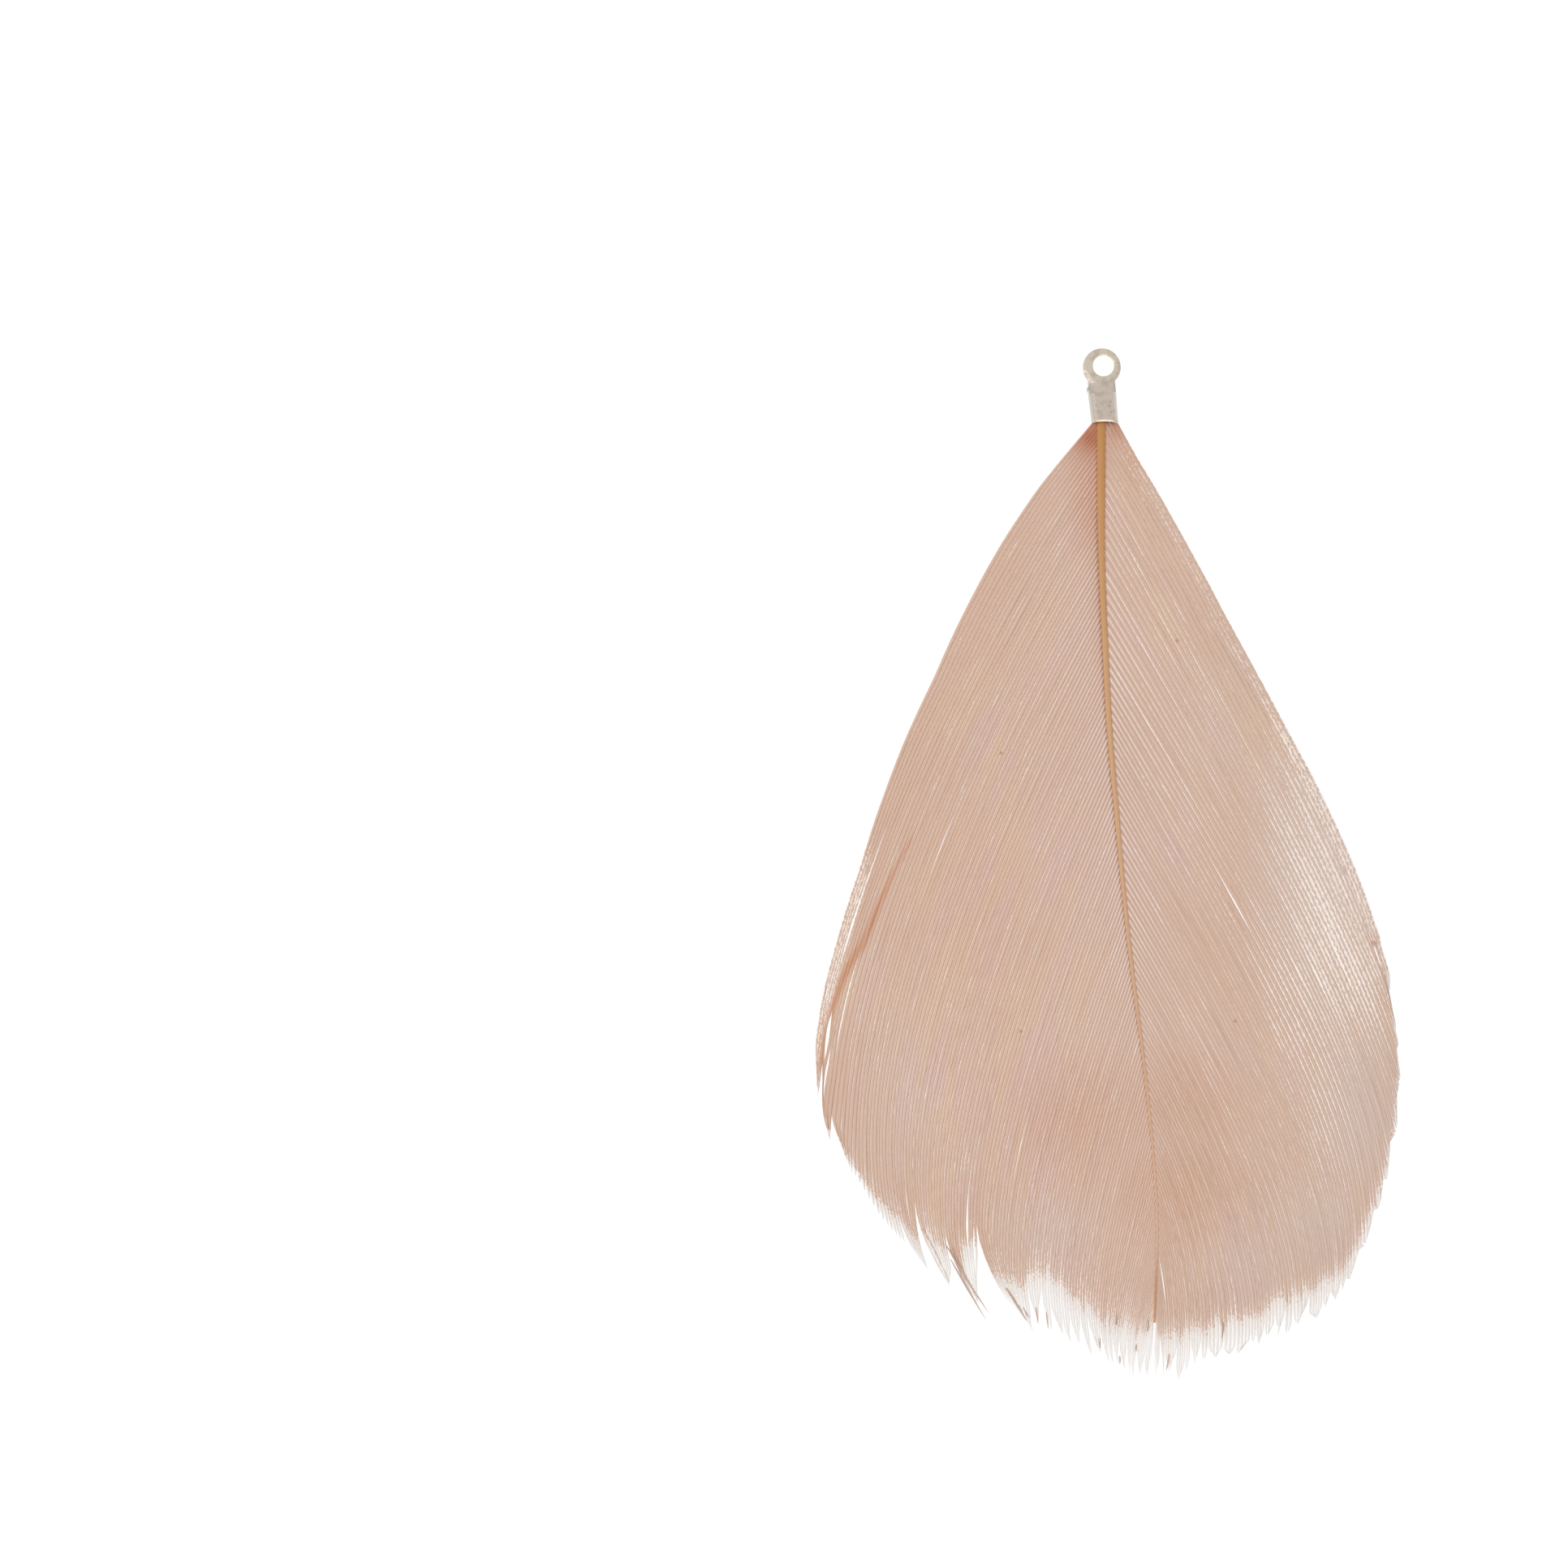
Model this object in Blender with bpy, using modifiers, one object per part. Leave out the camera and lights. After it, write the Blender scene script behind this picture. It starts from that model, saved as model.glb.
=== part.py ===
# A dyed body feather with its quill clamped in a small metal crimp end that has a flat ring.
# Metres, +Z up. The feather lies convex side up on Z = 0, its ring towards +Y and its tip towards -Y.
# X runs across the vane, and the origin is under the middle of the whole piece.
import math

import bmesh
import bpy
import numpy as np

MM = 0.001

# The crimp end: a strip of plated sheet, folded round the quill, with a ring stamped at its end.
# Its own frame has the middle of the mouth at the origin and runs up +Y to the ring.
SHEET = 0.25 * MM
SLEEVE_LENGTH = 2.55 * MM
SLEEVE_TOP_WIDTH = 1.96 * MM
SLEEVE_MOUTH_WIDTH = 1.82 * MM
SLEEVE_HEIGHT = 1.20 * MM
FOLD_RADIUS = 0.38 * MM
SEAM_GAP = 0.12 * MM
RING_RADIUS = 1.30 * MM
RING_AT = (0.13 * MM, 3.84 * MM)
HOLE_RADIUS = 0.73 * MM
HOLE_AT = (0.25 * MM, 3.93 * MM)
NECK_WIDTH = 1.86 * MM
NECK_INSET = 0.01 * MM  # the neck is this much thinner on each face than the plate it grows from
MOUTH_AT = (-0.08 * MM, 29.97 * MM)
CRIMP_TURN = math.radians(5.6)  # its lower end leans to the right

# The shaft, by its distance below the mouth. The first keys are the quill inside the sleeve.
SHAFT_TOP = 29.97 * MM
QUILL_INSIDE = 2.2
SHAFT_LENGTH = 63.6
SHAFT_ACROSS = ((-2.2, -0.32), (10.0, -0.36), (16.0, -0.14), (21.0, 0.11), (26.6, 0.58), (32.2, 1.08),
                (37.7, 1.69), (43.3, 2.42), (48.8, 3.03), (54.4, 3.42), (60.0, 3.36), (66.0, 3.15))
SHAFT_RISE = ((-2.2, 0.46), (0.0, 0.47), (3.0, 0.80), (9.0, 1.50), (20.0, 2.30), (32.0, 2.55),
              (44.0, 2.15), (54.0, 1.35), (61.0, 0.50), (66.0, 0.0))
SHAFT_RADIUS = ((-2.2, 0.275), (0.0, 0.275), (9.4, 0.215), (26.6, 0.165), (40.0, 0.125), (52.0, 0.075),
                (60.0, 0.06), (64.0, 0.04))

# Guide barbs of each side, from the mouth to the tip. Each is: where it roots on the shaft and how
# long it is, in millimetres, then its angle off the shaft, its even bend and its curl near the tip,
# in degrees.
LEFT_GUIDES = ((0.0, 50.0, 40, -36, 6), (1.0, 50.3, 37, -28, -3), (2.2, 50.2, 35, -23, -7),
               (4.4, 49.4, 33, -20, -13), (9.9, 47.4, 31, -19, -24), (16.6, 44.8, 27, -14, -37),
               (21.0, 41.2, 26, -15, -32), (26.6, 36.0, 23, -11, -31), (37.7, 25.4, 19, -8, -26),
               (48.8, 15.6, 15, -5, -22), (54.4, 10.4, 13, 0, -18), (60.0, 4.6, 12, 0, -10),
               (64.0, 0.6, 2, 0, 0))
RIGHT_GUIDES = ((0.0, 40.4, 29.7, -1.6, -12.7), (1.0, 42.3, 29.5, -2, -10), (2.2, 43.5, 29, -2, -7),
                (4.4, 44.7, 29, -2, -8), (9.9, 44.6, 30, -3, -14), (16.6, 42.9, 31, -3, -27),
                (21.0, 41.6, 30, -3, -32), (26.6, 37.4, 30, -4, -32), (32.2, 32.3, 30.5, -6, -31),
                (37.7, 27.0, 30, -10, -27), (43.3, 21.5, 29.5, -16, -20), (48.8, 16.1, 26, -25, -7),
                (54.4, 10.8, 19, -24, 0), (60.0, 4.8, 4, -6, 0), (64.0, 0.6, 0, 0, 0))
CURL_POWER = 5  # the curl gathers in the last third of a barb
LEFT_FLARE = 0.40  # the first barbs leave the mouth this far out from the shaft's side
RIGHT_FLARE = 0.85
FLARE_FADES = 0.45

# The vane: barbs gathered in locks, each a low ridge with a valley on either side.
VANE_THICKNESS = 0.28 * MM
FIRST_ROOT = 0.15
LOCKS = 32
BARB_STEPS = 11
LOCK_RIDGE = 0.15 * MM
RIDGE_GROWS = 0.12  # the ridge has its full height from this fraction of the barb on
# How far short of the tips the valleys end, in millimetres, by the root: it makes the margin toothed.
VALLEY_SHORT = ((0.0, 0.5), (8.0, 0.7), (16.0, 1.3), (30.0, 1.9), (50.0, 1.6), (64.0, 0.1))
RAGGED = 0.5
SIDE_SAG = 0.0062  # the vane falls this far below the shaft, in millimetres, per square millimetre out
LANDING = 0.16  # how softly the margin comes down on the surface
# Deep splits between two locks: the root of the barb they run beside, and how far along it they start.
LEFT_SPLITS = ((2.6, 0.90), (14.8, 0.915), (34.5, 0.93))
RIGHT_SPLITS = ((0.9, 0.96), (20.5, 0.92), (41.0, 0.90), (57.0, 0.62))
# The one wide notch in the margin, on the left: how far the barbs across it still reach, by the root.
LEFT_NOTCH = ((23.7, 1.0), (24.4, 0.79), (25.5, 0.83), (26.4, 0.88), (28.3, 0.94), (32.0, 1.0))


def smooth_through(keys, at):
    """The value of a smooth curve through (place, value) keys at one or more places."""
    places, values = np.array(keys, float).T
    slopes = np.gradient(values, places)
    at = np.clip(np.asarray(at, float), places[0], places[-1])
    i = np.clip(np.searchsorted(places, at, side="right") - 1, 0, len(places) - 2)
    span = places[i + 1] - places[i]
    t = (at - places[i]) / span
    return ((2 * t**3 - 3 * t**2 + 1) * values[i] + (t**3 - 2 * t**2 + t) * span * slopes[i]
            + (3 * t**2 - 2 * t**3) * values[i + 1] + (t**3 - t**2) * span * slopes[i + 1])


def guide_value(side, column, root):
    guides = LEFT_GUIDES if side < 0 else RIGHT_GUIDES
    return float(smooth_through([(guide[0], guide[column]) for guide in guides], root))


def barb_path(side, root, reach, steps):
    """X and Y, in millimetres, of the barb from that root, as far as the fraction reach of its length."""
    length, angle, bend, curl = (guide_value(side, column, root) for column in (1, 2, 3, 4))
    fraction = np.linspace(0, reach, 4 * steps + 1)
    heading = np.radians(angle + bend * fraction + curl * fraction**CURL_POWER)
    stride = length * reach / (4 * steps)
    across = np.concatenate([[0], np.cumsum((np.sin(heading[1:]) + np.sin(heading[:-1])) / 2)])
    along = np.concatenate([[0], np.cumsum((np.cos(heading[1:]) + np.cos(heading[:-1])) / 2)])
    flare = LEFT_FLARE if side < 0 else RIGHT_FLARE
    start = float(smooth_through(SHAFT_RADIUS, root)) + flare * math.exp(-root / FLARE_FADES)
    x = float(smooth_through(SHAFT_ACROSS, root)) + side * (start + across * stride)
    y = SHAFT_TOP / MM - root - along * stride
    return x[::4], y[::4], fraction[::4]


def dome_height(x, y):
    """The height of the vane's underside, in millimetres, over the point x, y on the surface it lies on."""
    down = SHAFT_TOP / MM - y
    out = x - smooth_through(SHAFT_ACROSS, down)
    free = smooth_through(SHAFT_RISE, down) - SIDE_SAG * out**2
    return float(free + np.sqrt(free**2 + LANDING**2)) / 2


def column_roots():
    """Where each column of the vane roots: a valley, a ridge, a valley and so on, down the shaft."""
    return np.linspace(FIRST_ROOT, SHAFT_LENGTH, 2 * LOCKS + 1)


def column_reach(side, column, roots):
    """How far along its barbs a column goes: ridges to the tips, valleys short of them."""
    root = roots[column]
    length = guide_value(side, 1, root)
    short = RAGGED * math.sin(12.9 * column + 4.1 * side) * min(1, length / 20)
    if column % 2 == 0:
        short += float(smooth_through(VALLEY_SHORT, root))
    reach = 1 - short / length
    if column % 2 == 0:
        for split, start in LEFT_SPLITS if side < 0 else RIGHT_SPLITS:
            if abs(root - split) <= (roots[2] - roots[0]) / 2:
                reach = start
    if side < 0 and LEFT_NOTCH[0][0] < root < LEFT_NOTCH[-1][0]:
        reach = min(reach, float(np.interp(root, *np.array(LEFT_NOTCH).T)))
    return reach


def lock_ridge(side, root):
    """The rise of a lock's middle: less near the tip, where the barbs leave the shaft almost along it."""
    spread = math.sin(math.radians(guide_value(side, 2, root))) / math.sin(math.radians(30))
    return LOCK_RIDGE * min(1, max(0, spread)) ** 2


def vane_sheet():
    """The underside of both vanes as one grid, mapped so that its columns follow the barbs."""
    roots = column_roots()
    mesh = bpy.data.meshes.new("vane")
    bm = bmesh.new()
    bmesh.ops.create_grid(bm, x_segments=2 * LOCKS, y_segments=2 * (BARB_STEPS + 1), size=1.0)
    paths = {}
    for vert in bm.verts:
        column = round((vert.co.x + 1) / 2 * 2 * LOCKS)
        row = round((vert.co.y + 1) / 2 * 2 * (BARB_STEPS + 1)) - (BARB_STEPS + 1)
        root = roots[column]
        if row == 0:
            x, y = float(smooth_through(SHAFT_ACROSS, root)), SHAFT_TOP / MM - root
            vert.co = (x * MM, y * MM, dome_height(x, y) * MM)
            continue
        side = 1 if row > 0 else -1
        if (side, column) not in paths:
            reach = column_reach(side, column, roots)
            paths[side, column] = barb_path(side, root, reach, BARB_STEPS)
        x, y, fraction = paths[side, column]
        step = abs(row) - 1
        height = dome_height(x[step], y[step]) * MM
        if column % 2:
            height += lock_ridge(side, root) * min(1, fraction[step] / RIDGE_GROWS)
        vert.co = (x[step] * MM, y[step] * MM, height)
    bmesh.ops.recalc_face_normals(bm, faces=bm.faces)
    if sum(face.normal.z for face in bm.faces) < 0:
        bmesh.ops.reverse_faces(bm, faces=bm.faces)
    bm.to_mesh(mesh)
    bm.free()
    return mesh


def shaft_tube():
    """The quill and shaft, a tapering tube that the vane's inner edge runs into."""
    curve = bpy.data.curves.new("shaft", "CURVE")
    curve.dimensions = "3D"
    curve.bevel_depth = MM
    curve.bevel_resolution = 2
    curve.use_fill_caps = True
    downs = np.concatenate([[-QUILL_INSIDE, 0], column_roots()])
    spline = curve.splines.new("POLY")
    spline.points.add(len(downs) - 1)
    for point, down in zip(spline.points, downs):
        radius = float(smooth_through(SHAFT_RADIUS, down))
        x, y = float(smooth_through(SHAFT_ACROSS, down)), SHAFT_TOP / MM - down
        middle = dome_height(x, y) * MM + VANE_THICKNESS / 2
        if down > 0:
            middle += min(1, down / 6) * max(0, VANE_THICKNESS / 2 - 0.3 * radius * MM)
        point.co = (x * MM, y * MM, middle, 1)
        point.radius = radius
    return curve


def place(obj, collection, material=None):
    collection.objects.link(obj)
    if material:
        obj.data.materials.append(material)
    return obj


def made_mesh(obj, name):
    """A mesh object with the curve object's evaluated shape, its caps welded."""
    bpy.context.view_layer.update()
    graph = bpy.context.evaluated_depsgraph_get()
    mesh = bpy.data.meshes.new_from_object(obj.evaluated_get(graph))
    bm = bmesh.new()
    bm.from_mesh(mesh)
    bmesh.ops.remove_doubles(bm, verts=bm.verts, dist=1e-6)
    bm.to_mesh(mesh)
    bm.free()
    made = bpy.data.objects.new(name, mesh)
    made.matrix_world = obj.matrix_world
    bpy.data.objects.remove(obj)
    return made


def hide_helper(obj):
    obj.hide_render = True
    obj.display_type = "WIRE"


def join_with(obj, other, operation, solver="EXACT"):
    cut = obj.modifiers.new(f"{operation.lower()} {other.name}", "BOOLEAN")
    cut.operation = operation
    cut.solver = solver
    cut.object = other


def sleeve_profile(width):
    """The middle line of the folded sheet, seen along the sleeve, from flap to flap round the plate."""
    half = width / 2 - SHEET / 2
    low, high = SHEET / 2, SLEEVE_HEIGHT - SHEET / 2
    points = [(SEAM_GAP / 2, low)]
    for corner_x, corner_z, first in ((half, low, -90), (half, high, 0), (-half, high, 90), (-half, low, 180)):
        centre_x = corner_x - math.copysign(FOLD_RADIUS, corner_x)
        centre_z = corner_z + FOLD_RADIUS if corner_z == low else corner_z - FOLD_RADIUS
        for step in range(6):
            angle = math.radians(first + 90 * step / 5)
            points.append((centre_x + FOLD_RADIUS * math.cos(angle), centre_z + FOLD_RADIUS * math.sin(angle)))
    points.append((-SEAM_GAP / 2, low))
    return points


def sleeve_sheet():
    """The folded sleeve as an open surface, extruded from its mouth to its top with a slight taper."""
    mesh = bpy.data.meshes.new("sleeve")
    bm = bmesh.new()
    verts = [bm.verts.new((x, 0, z)) for x, z in sleeve_profile(SLEEVE_MOUTH_WIDTH)]
    edges = [bm.edges.new(pair) for pair in zip(verts, verts[1:])]
    new = bmesh.ops.extrude_edge_only(bm, edges=edges)["geom"]
    top = [item for item in new if isinstance(item, bmesh.types.BMVert)]
    for vert, (x, z) in zip(top, sleeve_profile(SLEEVE_TOP_WIDTH)):
        vert.co = (x, SLEEVE_LENGTH, z)
    bmesh.ops.recalc_face_normals(bm, faces=bm.faces)
    bm.to_mesh(mesh)
    bm.free()
    return mesh


def crimp_place(obj):
    obj.location = (MOUTH_AT[0], MOUTH_AT[1], 0)
    obj.rotation_euler = (0, 0, CRIMP_TURN)


def crimp_helper(collection, name, primitive, at, **size):
    """A primitive in the crimp end's own frame, as a helper object."""
    primitive(location=(0, 0, 0), **size)
    obj = bpy.context.object
    obj.name = name
    for vert in obj.data.vertices:
        vert.co = (vert.co.x + at[0], vert.co.y + at[1], vert.co.z + at[2])
    for held in list(obj.users_collection):
        held.objects.unlink(obj)
    collection.objects.link(obj)
    crimp_place(obj)
    hide_helper(obj)
    return obj


def build_crimp(collection, helpers, material):
    sleeve = place(bpy.data.objects.new("crimp_end", sleeve_sheet()), collection, material)
    crimp_place(sleeve)
    wall = sleeve.modifiers.new("sheet", "SOLIDIFY")
    wall.thickness = SHEET
    wall.offset = 0
    plate_z = SLEEVE_HEIGHT - SHEET / 2
    thick = SHEET - 2 * NECK_INSET
    ring = crimp_helper(helpers, "ring_form", bpy.ops.mesh.primitive_cylinder_add,
                        (RING_AT[0], RING_AT[1], plate_z), radius=RING_RADIUS, depth=thick, vertices=56)
    neck = crimp_helper(helpers, "neck_form", bpy.ops.mesh.primitive_cube_add, (0, 0, 0), size=1)
    low, high = SLEEVE_LENGTH - 2 * SHEET, RING_AT[1] - 0.5 * RING_RADIUS
    for vert in neck.data.vertices:
        vert.co = (vert.co.x * NECK_WIDTH, low + (vert.co.y + 0.5) * (high - low),
                   plate_z + vert.co.z * (thick - NECK_INSET))
    hole = crimp_helper(helpers, "ring_hole", bpy.ops.mesh.primitive_cylinder_add,
                        (HOLE_AT[0], HOLE_AT[1], plate_z), radius=HOLE_RADIUS, depth=4 * SHEET, vertices=40)
    join_with(sleeve, neck, "UNION")
    join_with(sleeve, ring, "UNION")
    join_with(sleeve, hole, "DIFFERENCE")
    sleeve.data.shade_smooth()
    sleeve.data.set_sharp_from_angle(angle=math.radians(35))


def build_feather(collection, helpers, material):
    tube = place(bpy.data.objects.new("shaft_curve", shaft_tube()), helpers)
    shaft = place(made_mesh(tube, "shaft_form"), helpers)
    hide_helper(shaft)
    feather = place(bpy.data.objects.new("feather", vane_sheet()), collection, material)
    wall = feather.modifiers.new("vane thickness", "SOLIDIFY")
    wall.thickness = VANE_THICKNESS
    wall.offset = 1
    join_with(feather, shaft, "UNION", "MANIFOLD")  # EXACT loses this thin, many-pointed sheet
    feather.data.shade_smooth()
    feather.data.set_sharp_from_angle(angle=math.radians(40))


def finish_material(name, colour, roughness, metallic):
    material = bpy.data.materials.new(name)
    material.use_nodes = True
    shader = material.node_tree.nodes["Principled BSDF"]
    shader.inputs["Base Color"].default_value = (*colour, 1)
    shader.inputs["Roughness"].default_value = roughness
    shader.inputs["Metallic"].default_value = metallic
    material.diffuse_color = (*colour, 1)
    return material


def main():
    for obj in list(bpy.data.objects):
        bpy.data.objects.remove(obj)
    parts = bpy.data.collections.new("feather_pendant")
    helpers = bpy.data.collections.new("joined_forms")
    for collection in (parts, helpers):
        bpy.context.scene.collection.children.link(collection)
    build_feather(parts, helpers, finish_material("dyed vane", (0.64, 0.46, 0.37), 0.6, 0.0))
    build_crimp(parts, helpers, finish_material("plated sheet", (0.52, 0.46, 0.40), 0.35, 1.0))


main()
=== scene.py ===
import math
import bpy
import numpy as np
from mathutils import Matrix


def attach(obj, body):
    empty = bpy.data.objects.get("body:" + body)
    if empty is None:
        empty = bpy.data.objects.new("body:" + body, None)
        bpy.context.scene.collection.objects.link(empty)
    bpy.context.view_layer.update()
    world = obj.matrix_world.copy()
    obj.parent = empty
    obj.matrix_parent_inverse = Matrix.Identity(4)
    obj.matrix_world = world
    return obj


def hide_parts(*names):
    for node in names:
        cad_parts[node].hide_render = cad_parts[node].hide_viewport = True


# A dyed feather lying on a light table, its quill clamped in a small metal crimp end.
# Values are in millimetres and degrees; meshes are made in millimetres and brought to metres at the end.
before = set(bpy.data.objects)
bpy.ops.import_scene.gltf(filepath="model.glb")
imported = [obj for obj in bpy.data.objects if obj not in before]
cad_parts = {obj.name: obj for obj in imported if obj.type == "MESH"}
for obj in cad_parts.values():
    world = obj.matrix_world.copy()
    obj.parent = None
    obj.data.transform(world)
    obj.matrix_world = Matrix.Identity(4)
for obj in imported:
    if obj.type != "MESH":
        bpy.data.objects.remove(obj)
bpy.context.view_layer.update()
mm = 0.001

# The line of the shaft, by the distance down it from the mouth of the crimp end.
shaftLine = {
    "top": 29.97,
    "across": ((-2.2, -0.32), (10, -0.36), (16, -0.14), (21, 0.11), (26.6, 0.58), (32.2, 1.08),
               (37.7, 1.69), (43.3, 2.42), (48.8, 3.03), (54.4, 3.42), (60, 3.36), (66, 3.15)),
    "rise": ((-2.2, 0.46), (0, 0.47), (3, 0.80), (9, 1.50), (20, 2.30), (32, 2.55), (44, 2.15),
             (54, 1.35), (61, 0.50), (66, 0.0)),
    "radius": ((-2.2, 0.28), (0, 0.305), (9.4, 0.25), (26.6, 0.185), (40, 0.13), (52, 0.085),
               (58, 0.09), (61, 0.08), (64, 0.05)),
    "sideSag": 0.0062,  # fall of the vane below the shaft, per square millimetre out
    "landing": 0.16,    # how softly the margin comes down
    "curlPower": 5,     # the curl of a barb gathers in its last third
    "flareFades": 0.45,
    "thickness": 0.28,
}

# Each side's barbs. A guide is: root, length, angle off the shaft, even bend and curl near the tip.
leftVane = {
    "name": "left_vane_barbs",
    "side": -1,
    "seed": 11,
    "guides": ((0, 50.0, 40, -36, 6), (1, 50.3, 37, -28, -3), (2.2, 50.2, 35, -23, -7),
               (4.4, 49.4, 33, -20, -13), (9.9, 47.4, 31, -19, -24), (16.6, 44.8, 27, -14, -37),
               (21, 41.2, 26, -15, -32), (26.6, 36.0, 23, -11, -31), (37.7, 25.4, 19, -8, -26),
               (48.8, 15.6, 15, -5, -22), (54.4, 10.4, 13, 0, -18), (60, 4.6, 12, 0, -10), (64, 0.6, 2, 0, 0)),
    "flare": 0.40,
    # The margin lies this much further right at these heights, less so for the barbs further in.
    "edgeShift": ((29.3, 0.10), (25.5, -0.11), (21.5, -0.04), (17.0, 0.17), (12.5, 0.38), (8.0, 0.24), (0.0, 0.18),
                  (-4.0, -0.04), (-8.4, -0.26), (-12.0, -0.14), (-16.0, 0.0)),
    "pitch": ((0, 0.40), (5, 0.45), (12, 0.45), (20, 0.48), (30, 0.49), (40, 0.48), (50, 0.53), (64, 0.50)),
    "spacing": 0.29,
    "fringe": ((0, 0.4), (6, 0.5), (8.5, 1.0), (10, 1.3), (14.2, 1.9), (16, 2.8), (19.2, 2.8), (19.4, 1.3), (21.5, 2.2),
               (22.4, 4.2), (24.3, 4.8), (24.5, 2.1), (28.5, 2.4), (34, 3.4), (39.5, 4.0), (41.5, 3.0), (46, 2.5),
               (50, 2.7), (58, 2.9), (64, 3.0)),
    "mouthShade": (-1.2, 29.0, 0.95, 0.90),  # place, size and strength of the darker bunch of barbs below the crimp end
    "besideShaft": (0.35, 0.26),            # how dark the roots are, and how reddened the strip beside the shaft
    "nearBy": ((0, 1.0), (34, 1.0), (54, 0.15), (64, 0.1)),
    "notch": 0.40,                          # how deep the fringe is notched between its locks
    "ragged": 0.38,                         # how much shorter than the rest a lock may be, per millimetre of fringe
    "whiteAbove": 2.4,                      # the lines whiten over this distance above the fringe
    "linesDown": (-90.0, -80.0, 0.35),      # the stronger lines keep this part of themselves below the first height
    "lines": ((0, 0.20), (20, 0.22), (40, 0.25), (64, 0.25)),
    "linesOut": (0.6, 1.0, 0.2),  # from this part of the barb to this one, the lines get this much stronger
    # Locks of barbs that cling together: first and last root, root of the tip, longer by, gathered over, pull.
    "locks": ((0.0, 0.9, 0.7, -0.4, 2.0, 0.6), (0.9, 3.4, 3.3, 0.1, 2.4, 0.85), (3.45, 5.6, 5.4, 0.4, 1.4, 0.5),
              (5.65, 10.75, 10.7, 0.3, 0.5, 0.0), (10.8, 14.25, 13.4, 0.75, 1.4, 0.3), (14.3, 19.25, 17.0, 0.2, 1.3, 0.6),
              (19.3, 24.35, 22.6, -0.2, 3.5, 0.8), (24.4, 31.6, 31.3, 0.0, 4.2, 0.58)),
    "shorter": ((14.24, 0.0), (14.34, 0.3), (17.0, 0.1), (19.2, 0.5), (19.3, 0.0), (24.34, 0.0), (24.5, 0.9),
                (28.0, 0.8), (31.3, 0.1), (35.0, 0.0)),
    "further": ((0, 0.0), (5.0, 0.10), (7.0, 0.75), (8.5, 1.25), (10.0, 1.20), (10.7, 0.95), (14.25, 0.4), (14.3, -0.1), (19.2, -0.1),
                (19.3, 0.0), (30, 0.0), (40, 0.25), (50, 0.35), (64, 0.35)),
    "paleMargin": (1.5, 0.62, 0.6),  # barbs up to this root are lined more strongly beyond this part of them
    # Single barbs that stray from the rest: three points each, half width and how dark.
    "strays": (((-10.97, -26.33), (-9.60, -28.60), (-8.08, -30.94), 0.07, 0.55),
               ((-10.64, -27.33), (-9.64, -29.11), (-8.25, -31.44), 0.06, 0.6),
               ((-10.53, -26.61), (-9.64, -28.44), (-8.69, -30.28), 0.05, 0.45),
               ((-12.53, -25.26), (-11.60, -27.00), (-10.75, -28.89), 0.04, 0.1),
               ((-6.86, -29.28), (-6.19, -30.28), (-5.42, -31.56), 0.09, 0.65),
               ((-5.70, -30.60), (-5.48, -31.00), (-5.25, -31.33), 0.05, 0.5),
               ((-4.80, -30.60), (-4.72, -31.20), (-4.64, -31.75), 0.05, 0.4),
               ((-4.10, -30.90), (-4.02, -31.50), (-3.95, -32.10), 0.05, 0.4),
               ((0.69, -30.80), (0.69, -31.30), (0.69, -31.80), 0.05, 1.0),
               ((-0.42, -32.70), (-0.41, -33.10), (-0.40, -33.40), 0.05, 0.6),
               ((0.94, -33.90), (0.95, -34.20), (0.96, -34.50), 0.06, 0.4)),
    # White slits between two barbs: root, from, to (parts of the barb) and width.
    "slits": ((1.0, 0.60, 0.72, 0.05), (1.1, 0.70, 0.80, 0.08), (3.0, 0.77, 0.90, 0.05), (1.5, 0.865, 0.93, 0.16),
              (2.1, 0.89, 0.965, 0.12), (23.5, 0.81, 0.89, 0.12), (24.1, 0.85, 0.92, 0.08), (13.0, 0.91, 0.96, 0.04),
              (29.5, 0.60, 0.68, 0.05), (14.25, 0.92, 1.12, 0.28), (16.0, 0.62, 0.66, 0.04), (8.0, 0.45, 0.50, 0.05)),
    # A dark fold where the outer barbs have doubled over: root, part of the barb and half width along it.
    "fold": ((4.9, 0.50, 0.06), (3.8, 0.58, 0.16), (3.3, 0.65, 0.25), (2.9, 0.73, 0.30), (1.8, 0.79, 0.28),
             (0.8, 0.86, 0.22), (0.5, 0.92, 0.18), (0.6, 0.95, 0.14), (1.3, 0.965, 0.08), (2.2, 0.965, 0.06),
             (3.0, 0.98, 0.05), (3.4, 1.0, 0.04)),
    "fineUntil": 6.0,
}
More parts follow.
